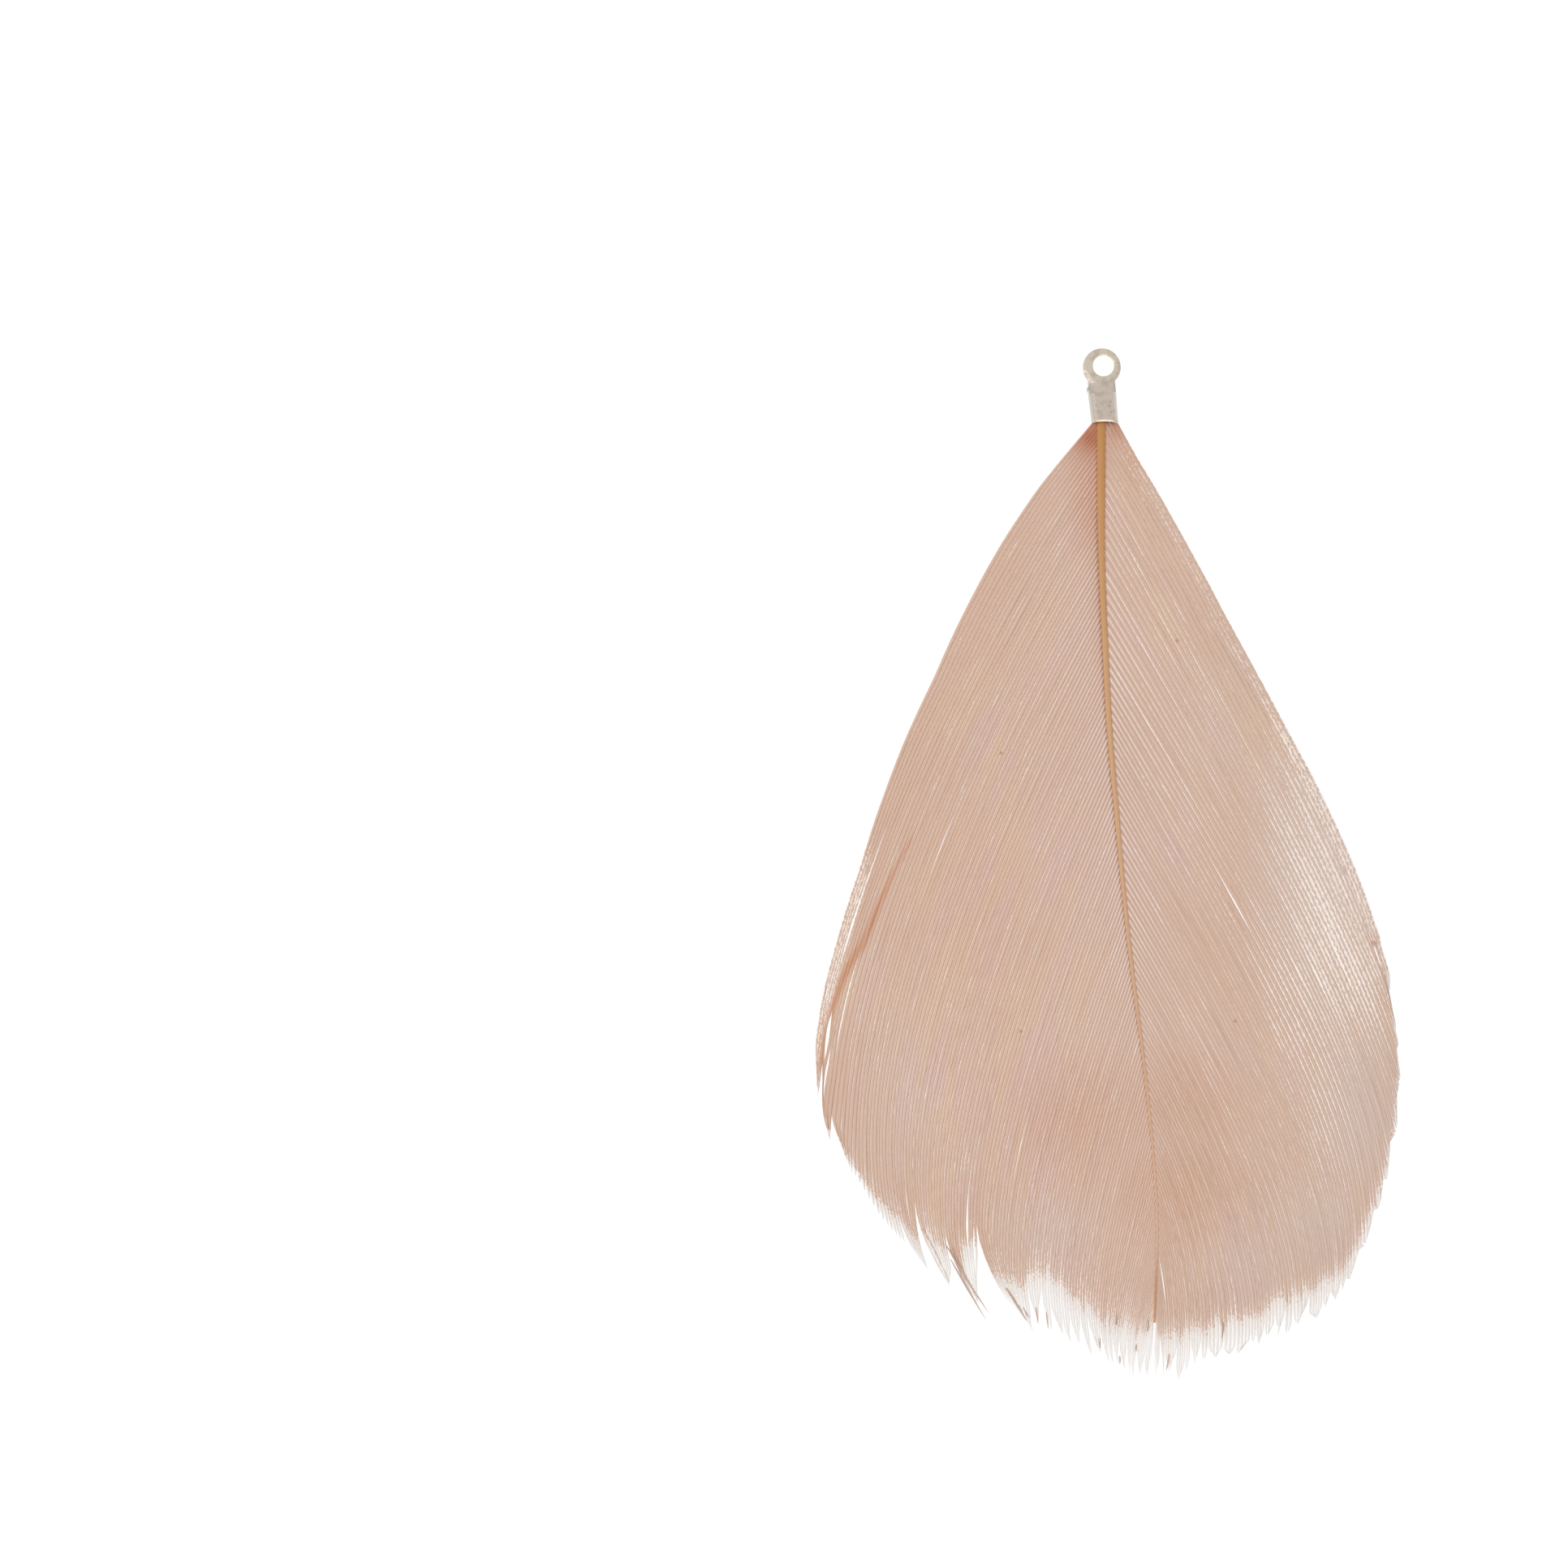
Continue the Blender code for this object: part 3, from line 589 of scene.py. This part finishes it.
def barbMaterial(group):
    material, tree, shader = newMaterial("dyed barbs")
    place = addNode(tree, "ShaderNodeTexCoord").outputs["Object"]
    strand = addNode(tree, "ShaderNodeUVMap", {"uv_map": "barbs"}).outputs[0]
    streaks, grain = placeDye(tree, group, strand, 3.0, 0.9, 90.0)
    broad = addNode(tree, "ShaderNodeTexNoise", Vector=place, Scale=140.0, Detail=2.0).outputs[0]
    colour = blendColours(tree, mapRange(tree, streaks, 0.40, 0.62), barbLook["beige"], barbLook["pink"])
    colour = blendColours(tree, mapRange(tree, broad, 0.35, 0.65), colour, barbLook["peach"])
    near = attribute(tree, "near")
    beside = sums(tree, "MAXIMUM", near, 0.0)
    colour = blendColours(tree, sums(tree, "MULTIPLY", beside, 0.7), colour, barbLook["nearShaft"])
    colour = blendColours(tree, patches(tree, place, barbLook["blushes"]), colour, barbLook["blush"])
    colour = blendColours(tree, patches(tree, place, barbLook["rosies"]), colour, barbLook["rosy"])
    # Across a barb, painted light and shade: a lighter ramus as a painted highlight, painted shade in the hollow on
    # each side of it, and a painted bright edge.
    side = sums(tree, "ABSOLUTE", attribute(tree, "across"))
    shade = rampOf(tree, side, ((0.0, 0.51), (0.14, 0.50), (0.34, 0.445), (0.62, 0.45), (0.84, 0.52), (1.0, 0.56)))
    shadeNear = rampOf(tree, side, ((0.0, 0.35), (0.25, 0.38), (0.60, 0.52), (1.0, 0.64)))
    shade = blendColours(tree, beside, shade, shadeNear)
    factor = sums(tree, "MULTIPLY", sums(tree, "ADD", mapRange(tree, grain, 0.3, 0.7, -0.025, 0.025, False), shade), 2.0)
    colour = blendColours(tree, 1.0, colour, addNode(tree, "ShaderNodeCombineXYZ", X=factor, Y=factor, Z=factor).outputs[0], "MULTIPLY")
    # The painted bright line where two barbs meet stands in for the table's light showing between them; it is beaded,
    # and wider where it is stronger.
    bead = addNode(tree, "ShaderNodeTexNoise", Vector=addNode(tree, "ShaderNodeMapping", Vector=strand,
                   Scale=(60, 38, 1)).outputs[0], Scale=1.0, Detail=1.0).outputs[0]
    stroke = addNode(tree, "ShaderNodeTexNoise", Vector=addNode(tree, "ShaderNodeMapping", Vector=strand,
                     Scale=(22, 3.2, 1)).outputs[0], Scale=1.0, Detail=1.0).outputs[0]
    strength = sums(tree, "ADD", attribute(tree, "lines"), mapRange(tree, stroke, 0.56, 0.74, -0.02, 0.20))
    strength = sums(tree, "MULTIPLY", strength, mapRange(tree, bead, 0.36, 0.60, 0.40, 1.12))
    reach = sums(tree, "ADD", sums(tree, "SUBTRACT", side, 1.0), sums(tree, "MULTIPLY", strength, 0.85))
    edge = sums(tree, "MULTIPLY", sums(tree, "MULTIPLY", reach, 4.0, True), mapRange(tree, strength, 0.0, 0.55, 0.3, 0.95))
    colour = blendColours(tree, edge, colour, barbLook["light"])
    # The fringe has lost its barbules: whitish, with a sharp ragged step. Its whiteness is partly the bare barbs' own
    # paleness and partly painted backlight from the table.
    ragged = addNode(tree, "ShaderNodeTexNoise", Vector=addNode(tree, "ShaderNodeMapping", Vector=strand,
                     Scale=(60, 44, 1)).outputs[0], Scale=1.0, Detail=1.5).outputs[0]
    bare = sums(tree, "ADD", attribute(tree, "fringe"), mapRange(tree, ragged, 0.3, 0.7, -0.55, 0.55, False))
    bareColour = blendColours(tree, mapRange(tree, bare, 0.2, 1.8), barbLook["fringeStart"], barbLook["fringe"])
    bareColour = blendColours(tree, mapRange(tree, side, 0.5, 0.1, 0.0, 0.55), bareColour, barbLook["fringeLine"])
    colour = blendColours(tree, mapRange(tree, bare, -0.06, 0.08), colour, bareColour)
    colour = blendColours(tree, sums(tree, "MULTIPLY", attribute(tree, "crease"), 0.85), colour, barbLook["crease"])
    colour = blendColours(tree, attribute(tree, "dark"), colour, barbLook["folded"])
    colour = blendColours(tree, patches(tree, place, barbLook["specks"]), colour, barbLook["folded"])
    # A stray barb carries a negative nearness to the shaft, as strong as it is dark.
    colour = blendColours(tree, sums(tree, "MULTIPLY", near, -1.0, True), colour, barbLook["stray"])
    tree.links.new(colour, shader.inputs["Base Color"])
    rough = mapRange(tree, grain, 0.3, 0.7, barbLook["roughness"] - 0.08, barbLook["roughness"] + 0.08, False)
    tree.links.new(rough, shader.inputs["Roughness"])
    shader.inputs["Specular IOR Level"].default_value = 0.25
    bump = addNode(tree, "ShaderNodeBump", Strength=0.25, Distance=0.00002, Height=grain).outputs[0]
    tree.links.new(bump, shader.inputs["Normal"])
    return material


# The shaft: a smooth amber horn, flat on its back, with a groove along its belly.
shaftPiece = {
    "sides": 20,
    "quillInside": 2.2,
    "end": 61.6,
    "stations": 90,
    "flatBack": 0.80,
    "groove": 0.35,
    "amber": paint(181, 127, 70),
    "honey": paint(196, 153, 110),
    "tipTone": paint(203, 161, 133),
    "sunken": paint(206, 168, 145),
    "bareEnd": paint(189, 138, 102),
    # Paler, pinker tone for the shaft's sides: painted light where the table's glow shows through the thin horn.
    "edge": paint(201, 150, 114),
    "roughness": 0.38,
}


def growShaft():
    downs = np.concatenate([np.linspace(-shaftPiece["quillInside"], 0, 5)[:-1],
                            np.linspace(0, shaftPiece["end"], shaftPiece["stations"])])
    x = smoothThrough(shaftLine["across"], downs)
    y = shaftLine["top"] - downs
    radius = smoothThrough(shaftLine["radius"], downs)
    middle = domeHeight(x, y) + shaftLine["thickness"] / 2
    bpy.ops.object.select_all(action="DESELECT")
    bpy.ops.mesh.primitive_circle_add(vertices=shaftPiece["sides"], radius=radius[0], fill_type="NGON",
                                      location=(x[0], y[0], middle[0]), rotation=(math.pi / 2, 0, 0))
    shaft = bpy.context.object
    shaft.name = shaft.data.name = "shaft"
    bpy.ops.object.transform_apply(location=True, rotation=True, scale=True)
    bpy.ops.object.mode_set(mode="EDIT")
    bpy.ops.mesh.select_all(action="SELECT")
    for k in range(1, len(downs)):
        step = (x[k] - x[k - 1], y[k] - y[k - 1], middle[k] - middle[k - 1])
        bpy.ops.mesh.extrude_region_move(TRANSFORM_OT_translate={"value": step})
        bpy.ops.transform.resize(value=(radius[k] / radius[k - 1],) * 3, center_override=(x[k], y[k], middle[k]))
    bpy.ops.object.mode_set(mode="OBJECT")
    # Flatten the back a little and press the groove into the belly.
    places = np.empty(len(shaft.data.vertices) * 3)
    shaft.data.vertices.foreach_get("co", places)
    places = places.reshape(-1, 3)
    down = shaftLine["top"] - places[:, 1]
    size = smoothThrough(shaftLine["radius"], down)
    axisX = np.interp(down, downs, x)
    axisZ = np.interp(down, downs, middle)
    outX, outZ = (places[:, 0] - axisX) / size, (places[:, 2] - axisZ) / size
    outZ = np.where(outZ > 0, outZ * shaftPiece["flatBack"], outZ + shaftPiece["groove"] * np.exp(-(outX / 0.3) ** 2) * (down > 0.5))
    places[:, 2] = axisZ + outZ * size
    shaft.data.vertices.foreach_set("co", (places * mm).ravel())
    layer = shaft.data.attributes.new("sideways", "FLOAT", "POINT")
    layer.data.foreach_set("value", np.abs(outX).astype(np.float32))
    outwardFaces(shaft)
    bpy.ops.object.shade_smooth_by_angle(angle=math.radians(50))
    return shaft


def shaftMaterial(group):
    material, tree, shader = newMaterial("amber shaft")
    place = addNode(tree, "ShaderNodeTexCoord").outputs["Object"]
    streaks, grain = placeDye(tree, group, place, 9000.0, 260.0, 2500.0)
    down = addNode(tree, "ShaderNodeSeparateXYZ", i0=place).outputs["Y"]
    colour = rampOf(tree, mapRange(tree, down, 0.030, -0.034, 0, 1, False),
                    ((0.0, shaftPiece["amber"]), (0.32, shaftPiece["honey"]), (0.74, shaftPiece["tipTone"]),
                     (0.88, shaftPiece["sunken"]), (0.92, shaftPiece["bareEnd"])))
    # Painted light: the shaft's sides take a paler, pinker tone, standing in for the table's glow through the thin
    # edges of the horn.
    edge = mapRange(tree, attribute(tree, "sideways"), 0.62, 1.0, 0.0, 0.60)
    colour = blendColours(tree, edge, colour, shaftPiece["edge"])
    factor = mapRange(tree, streaks, 0.3, 0.7, 0.94, 1.05, False)
    colour = blendColours(tree, 1.0, colour, addNode(tree, "ShaderNodeCombineXYZ", X=factor, Y=factor, Z=factor).outputs[0], "MULTIPLY")
    tree.links.new(colour, shader.inputs["Base Color"])
    tree.links.new(mapRange(tree, grain, 0.3, 0.7, shaftPiece["roughness"] - 0.06, shaftPiece["roughness"] + 0.08, False),
                   shader.inputs["Roughness"])
    bump = addNode(tree, "ShaderNodeBump", Strength=0.3, Distance=0.00001, Height=streaks).outputs[0]
    tree.links.new(bump, shader.inputs["Normal"])
    return material


# The crimp end, made in its own frame: the middle of its mouth at the origin, up +Y to the ring.
crimpPiece = {
    "sheet": 0.25,
    "length": 2.55,
    "topWidth": 1.96,
    "mouthWidth": 1.82,
    "height": 1.20,
    "foldRadius": 0.38,
    "seamGap": 0.12,
    "ringRadius": 1.30,
    "ringAt": (0.13, 3.84),
    "holeRadius": 0.73,
    "holeAt": (0.25, 3.93),
    "neckWidth": 1.86,
    "crown": 0.05,
    "bevel": 0.10,
    "rows": 9,
    "mouthAt": (-0.08, 29.97),
    "turn": 5.6,
    "mouthSkew": 0.11,  # the mouth is cut level though the sleeve leans
    "grid": 0.03,
    "plate": paint(231, 217, 203),
    "dull": paint(206, 189, 173),
    "pit": paint(120, 104, 92),
    # Painted reflection: greyer tone of the sleeve's folded sides, where the metal mirrors the glowing table.
    "side": paint(208, 204, 190),
    "ringTone": paint(240, 228, 212),
    "holeTone": paint(228, 222, 184),
    # In the crimp end's own frame: middle x and y, half width and half height, strength.
    "pits": ((0.505, 1.43, 0.07, 0.07, 0.9), (0.333, 1.16, 0.12, 0.06, 0.7), (0.42, 1.05, 0.06, 0.06, 0.8),
             (-0.517, 1.29, 0.11, 0.06, 0.7), (-0.40, 1.18, 0.06, 0.06, 0.6), (0.456, 0.71, 0.07, 0.07, 0.8)),
    "shoulder": (-0.075, 2.42, 0.17),  # small step in the left fold: how far out, where and how long
    "roughness": 0.30,
}


def foldOutline(width):
    half = width / 2 - crimpPiece["sheet"] / 2
    low, high = crimpPiece["sheet"] / 2, crimpPiece["height"] - crimpPiece["sheet"] / 2
    radius = crimpPiece["foldRadius"]
    outline = [(crimpPiece["seamGap"] / 2, low)]
    for side, level, first in ((half, low, -90), (half, high, 0), (-half, high, 90), (-half, low, 180)):
        middle = (side - math.copysign(radius, side), level + radius if level == low else level - radius)
        outline += [(middle[0] + radius * math.cos(math.radians(first + 15 * n)),
                     middle[1] + radius * math.sin(math.radians(first + 15 * n))) for n in range(7)]
    return outline + [(-crimpPiece["seamGap"] / 2, low)]


def foldSleeve():
    outline = foldOutline(crimpPiece["mouthWidth"])
    bpy.ops.object.select_all(action="DESELECT")
    bpy.ops.mesh.primitive_plane_add(size=0.1)
    sleeve = bpy.context.object
    sleeve.name = sleeve.data.name = "crimp_metal"
    bpy.ops.object.mode_set(mode="EDIT")
    bpy.ops.mesh.select_all(action="SELECT")
    bpy.ops.mesh.merge(type="CENTER")
    bpy.ops.transform.translate(value=(outline[0][0], 0, outline[0][1]))
    for (fromX, fromZ), (toX, toZ) in zip(outline, outline[1:]):
        bpy.ops.mesh.extrude_region_move(TRANSFORM_OT_translate={"value": (toX - fromX, 0, toZ - fromZ)})
    bpy.ops.mesh.select_all(action="SELECT")
    grow = (crimpPiece["topWidth"] / crimpPiece["mouthWidth"]) ** (1 / crimpPiece["rows"])
    for _ in range(crimpPiece["rows"]):
        bpy.ops.mesh.extrude_region_move(TRANSFORM_OT_translate={"value": (0, crimpPiece["length"] / crimpPiece["rows"], 0)})
        bpy.ops.transform.resize(value=(grow, 1, 1), center_override=(0, 0, 0))
    bpy.ops.object.mode_set(mode="OBJECT")
    wall = sleeve.modifiers.new("sheet", "SOLIDIFY")
    wall.thickness = crimpPiece["sheet"]
    wall.offset = 0
    bpy.ops.object.modifier_apply(modifier="sheet")
    return sleeve


def discAt(name, at, radius, depth, stretch=(1, 1)):
    bpy.ops.object.select_all(action="DESELECT")
    level = crimpPiece["height"] - crimpPiece["sheet"] / 2
    bpy.ops.mesh.primitive_cylinder_add(vertices=96, radius=radius, depth=depth, location=(at[0], at[1], level))
    disc = bpy.context.object
    disc.name = name
    disc.scale = (stretch[0], stretch[1], 1)
    bpy.ops.object.transform_apply(location=True, rotation=True, scale=True)
    return disc


def joinShape(target, other, operation):
    settle(target)
    cut = target.modifiers.new(operation, "BOOLEAN")
    cut.operation = operation
    cut.solver = "EXACT"
    cut.object = other
    bpy.ops.object.modifier_apply(modifier=operation)
    bpy.data.objects.remove(other)


def makeCrimp():
    sleeve = foldSleeve()
    sheet = crimpPiece["sheet"]
    ring = discAt("ring", crimpPiece["ringAt"], crimpPiece["ringRadius"], sheet)
    bpy.ops.object.select_all(action="DESELECT")
    low, high = crimpPiece["length"] - 2 * sheet, crimpPiece["ringAt"][1] - 0.5 * crimpPiece["ringRadius"]
    bpy.ops.mesh.primitive_cube_add(size=1, location=(0, (low + high) / 2, crimpPiece["height"] - sheet / 2))
    neck = bpy.context.object
    neck.scale = (crimpPiece["neckWidth"], high - low, sheet * 0.98)
    bpy.ops.object.transform_apply(location=True, rotation=True, scale=True)
    hole = discAt("hole", crimpPiece["holeAt"], crimpPiece["holeRadius"], 4 * sheet, (1.0, 0.98))
    joinShape(sleeve, neck, "UNION")
    joinShape(sleeve, ring, "UNION")
    joinShape(sleeve, hole, "DIFFERENCE")
    settle(sleeve)
    grid = sleeve.modifiers.new("grid", "REMESH")
    grid.mode = "VOXEL"
    grid.voxel_size = crimpPiece["grid"]
    bpy.ops.object.modifier_apply(modifier="grid")
    soften = sleeve.modifiers.new("soften", "SMOOTH")
    soften.factor = 0.5
    soften.iterations = 5
    bpy.ops.object.modifier_apply(modifier="soften")
    places = np.empty(len(sleeve.data.vertices) * 3)
    sleeve.data.vertices.foreach_get("co", places)
    places = places.reshape(-1, 3)
    x, y, z = places.T
    onTop = easeBetween(0.75, 1.0, z)
    inSleeve = 1 - easeBetween(2.3, 3.0, y)
    z += crimpPiece["crown"] * onTop * (inSleeve * (1 - (x / 0.95) ** 2) - 0.6)  # crowned plate, ring a little lower
    y += 0.10 * onTop * (1 - easeBetween(0.0, 0.5, y)) * (1 - (x / 0.9) ** 2)     # arched lower edge
    fromHole = np.hypot(x - crimpPiece["holeAt"][0], y - crimpPiece["holeAt"][1])
    z -= 0.5 * onTop * np.maximum(0, crimpPiece["bevel"] - (fromHole - crimpPiece["holeRadius"]))
    fromRing = np.hypot(x - crimpPiece["ringAt"][0], y - crimpPiece["ringAt"][1])
    z -= 0.45 * onTop * np.maximum(0, fromRing - crimpPiece["ringRadius"] + 0.18) * (y > 2.8)
    z -= 0.58 * onTop * np.maximum(0, 0.24 - y - 0.10 * (x / 0.9) ** 2)  # rolled rim of the mouth
    fromRingMiddle = np.degrees(np.arctan2(y - crimpPiece["ringAt"][1], x - crimpPiece["ringAt"][0]))
    nick = easeBetween(-172, -160, fromRingMiddle) * (1 - easeBetween(-140, -128, fromRingMiddle))
    z -= 1.2 * onTop * nick * np.clip(fromRing - crimpPiece["ringRadius"] + 0.26, 0, 0.14)  # bright nick in the ring's lower left
    y -= crimpPiece["mouthSkew"] * x * (1 - easeBetween(0.0, 1.4, y))
    out, at, long = crimpPiece["shoulder"]
    x += out * np.exp(-((y - at) / long) ** 4) * easeBetween(-0.70, -0.85, x)
    lip = np.exp(-(((x - 0.86) / 0.16) ** 2 + ((y + 0.02) / 0.22) ** 2)) * onTop
    y -= 0.10 * lip
    x += 0.05 * lip
    turn = math.radians(crimpPiece["turn"])
    turned = np.stack([x * math.cos(turn) - y * math.sin(turn) + crimpPiece["mouthAt"][0],
                       x * math.sin(turn) + y * math.cos(turn) + crimpPiece["mouthAt"][1], z], 1)
    sleeve.data.vertices.foreach_set("co", (turned * mm).ravel())
    layer = sleeve.data.attributes.new("plate", "FLOAT_VECTOR", "POINT")
    layer.data.foreach_set("vector", np.stack([x, y, z], 1).astype(np.float32).ravel())
    outwardFaces(sleeve)
    sleeve.data.shade_smooth()
    return sleeve


def crimpMaterial():
    material, tree, shader = newMaterial("plated sheet")
    place = addNode(tree, "ShaderNodeAttribute", {"attribute_name": "plate", "attribute_type": "GEOMETRY"}).outputs["Vector"]
    cloudy = addNode(tree, "ShaderNodeTexNoise", Vector=place, Scale=1.6, Detail=4.0, Roughness=0.6).outputs[0]
    fine = addNode(tree, "ShaderNodeTexNoise", Vector=place, Scale=14.0, Detail=3.0, Roughness=0.7).outputs[0]
    parts = addNode(tree, "ShaderNodeSeparateXYZ", i0=place).outputs
    onRing = mapRange(tree, parts["Y"], 2.5, 3.0)
    colour = blendColours(tree, onRing, crimpPiece["plate"], crimpPiece["ringTone"])
    colour = blendColours(tree, mapRange(tree, cloudy, 0.42, 0.70, 0.0, 0.8), colour, crimpPiece["dull"])
    # Painted reflection: a greyer tone on the sleeve's folded sides, standing in for the glowing table mirrored there.
    sideReflection = sums(tree, "MULTIPLY", mapRange(tree, sums(tree, "ABSOLUTE", parts["X"]), 0.66, 0.84), sums(tree, "SUBTRACT", 1.0, onRing))
    colour = blendColours(tree, sideReflection, colour, crimpPiece["side"])
    fromHole = addNode(tree, "ShaderNodeVectorMath", {"operation": "DISTANCE"}, i0=addNode(
        tree, "ShaderNodeCombineXYZ", X=parts["X"], Y=parts["Y"]).outputs[0], i1=(*crimpPiece["holeAt"], 0)).outputs["Value"]
    radius = crimpPiece["holeRadius"]
    colour = blendColours(tree, mapRange(tree, fromHole, radius + 0.14, radius + 0.04), colour, crimpPiece["holeTone"])
    pits = sums(tree, "ADD", patches(tree, place, crimpPiece["pits"], 1.0), mapRange(tree, fine, 0.72, 0.80, 0.0, 0.3))
    colour = blendColours(tree, sums(tree, "MULTIPLY", pits, 0.7), colour, crimpPiece["pit"])
    tree.links.new(colour, shader.inputs["Base Color"])
    shader.inputs["Metallic"].default_value = 1.0
    tree.links.new(mapRange(tree, cloudy, 0.3, 0.7, crimpPiece["roughness"] - 0.06, crimpPiece["roughness"] + 0.12, False),
                   shader.inputs["Roughness"])
    scratch = addNode(tree, "ShaderNodeTexNoise", Vector=addNode(tree, "ShaderNodeMapping", Vector=place,
                      Rotation=(0, 0, 0.6), Scale=(30, 3, 3)).outputs[0], Scale=1.0, Detail=2.0).outputs[0]
    height = sums(tree, "SUBTRACT", mapRange(tree, scratch, 0.3, 0.7, 0, 0.3, False), pits)
    bump = addNode(tree, "ShaderNodeBump", Strength=0.4, Distance=0.00003, Height=height).outputs[0]
    tree.links.new(bump, shader.inputs["Normal"])
    return material


studio = {
    "floorSize": 3.0,
    "floorGlow": 1.03,
    "sky": 0.69,
    "lens": 120.0,
    "sensor": 36.0,
    "seenWide": 0.10733,
    "seenMiddle": (-0.02208, 0.00528),
    # Softboxes: place, size, power, and whether the metal mirrors it.
    "lamps": (((-0.35, 0.20, 0.42), 0.50, 1.5, False), ((0.45, 0.05, 0.20), 0.20, 0.35, False),
              ((0.0, -0.45, 0.26), 0.20, 0.25, True), ((-0.34, -0.145, 0.335), 0.14, 0.16, True)),
}


def setStudio():
    bpy.ops.object.select_all(action="DESELECT")
    bpy.ops.mesh.primitive_plane_add(size=studio["floorSize"], location=(0, 0, -0.00003))
    floor = bpy.context.object
    floor.name = "light_table"
    material, tree, shader = newMaterial("light table")
    shader.inputs["Base Color"].default_value = (0, 0, 0, 1)
    shader.inputs["Specular IOR Level"].default_value = 0
    shader.inputs["Emission Color"].default_value = (1, 1, 1, 1)
    shader.inputs["Emission Strength"].default_value = studio["floorGlow"]
    floor.data.materials.append(material)
    world = bpy.data.worlds.new("white room")
    bpy.context.scene.world = world
    world.use_nodes = True
    world.node_tree.nodes["Background"].inputs["Color"].default_value = (1, 1, 1, 1)
    world.node_tree.nodes["Background"].inputs["Strength"].default_value = studio["sky"]
    for number, (place, size, power, mirrored) in enumerate(studio["lamps"]):
        lamp = bpy.data.lights.new(f"softbox {number + 1}", "AREA")
        lamp.size = size
        lamp.energy = power
        holder = bpy.data.objects.new(lamp.name, lamp)
        holder.location = place
        holder.visible_glossy = mirrored
        aim = -holder.location.normalized()
        holder.rotation_euler = aim.to_track_quat("-Z", "Y").to_euler()
        bpy.context.scene.collection.objects.link(holder)
    view = bpy.data.cameras.new("camera")
    view.lens = studio["lens"]
    view.sensor_width = studio["sensor"]
    view.clip_start, view.clip_end = 0.01, 20
    camera = bpy.data.objects.new("camera", view)
    camera.location = (*studio["seenMiddle"], studio["seenWide"] * studio["lens"] / studio["sensor"] + 0.001)
    bpy.context.scene.collection.objects.link(camera)
    bpy.context.scene.camera = camera
    bpy.context.scene.view_settings.view_transform = "Standard"


setStudio()
print("studio set")
dye = dyeGroup()
barbFinish = barbMaterial(dye)
for vane in (leftVane, rightVane):
    grown = meshFrom(vane["name"], *growVane(vane))
    grown.data.materials.append(barbFinish)
    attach(grown, "root")
    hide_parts("feather")
    print(vane["name"], "grown:", len(grown.data.polygons), "faces")
shaft = growShaft()
shaft.data.materials.append(shaftMaterial(dye))
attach(shaft, "root")
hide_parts("feather")
print("shaft grown:", len(shaft.data.polygons), "faces")
crimp = makeCrimp()
crimp.data.materials.clear()
crimp.data.materials.append(crimpMaterial())
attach(crimp, "root")
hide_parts("crimp_end")
print("crimp end made:", len(crimp.data.polygons), "faces")
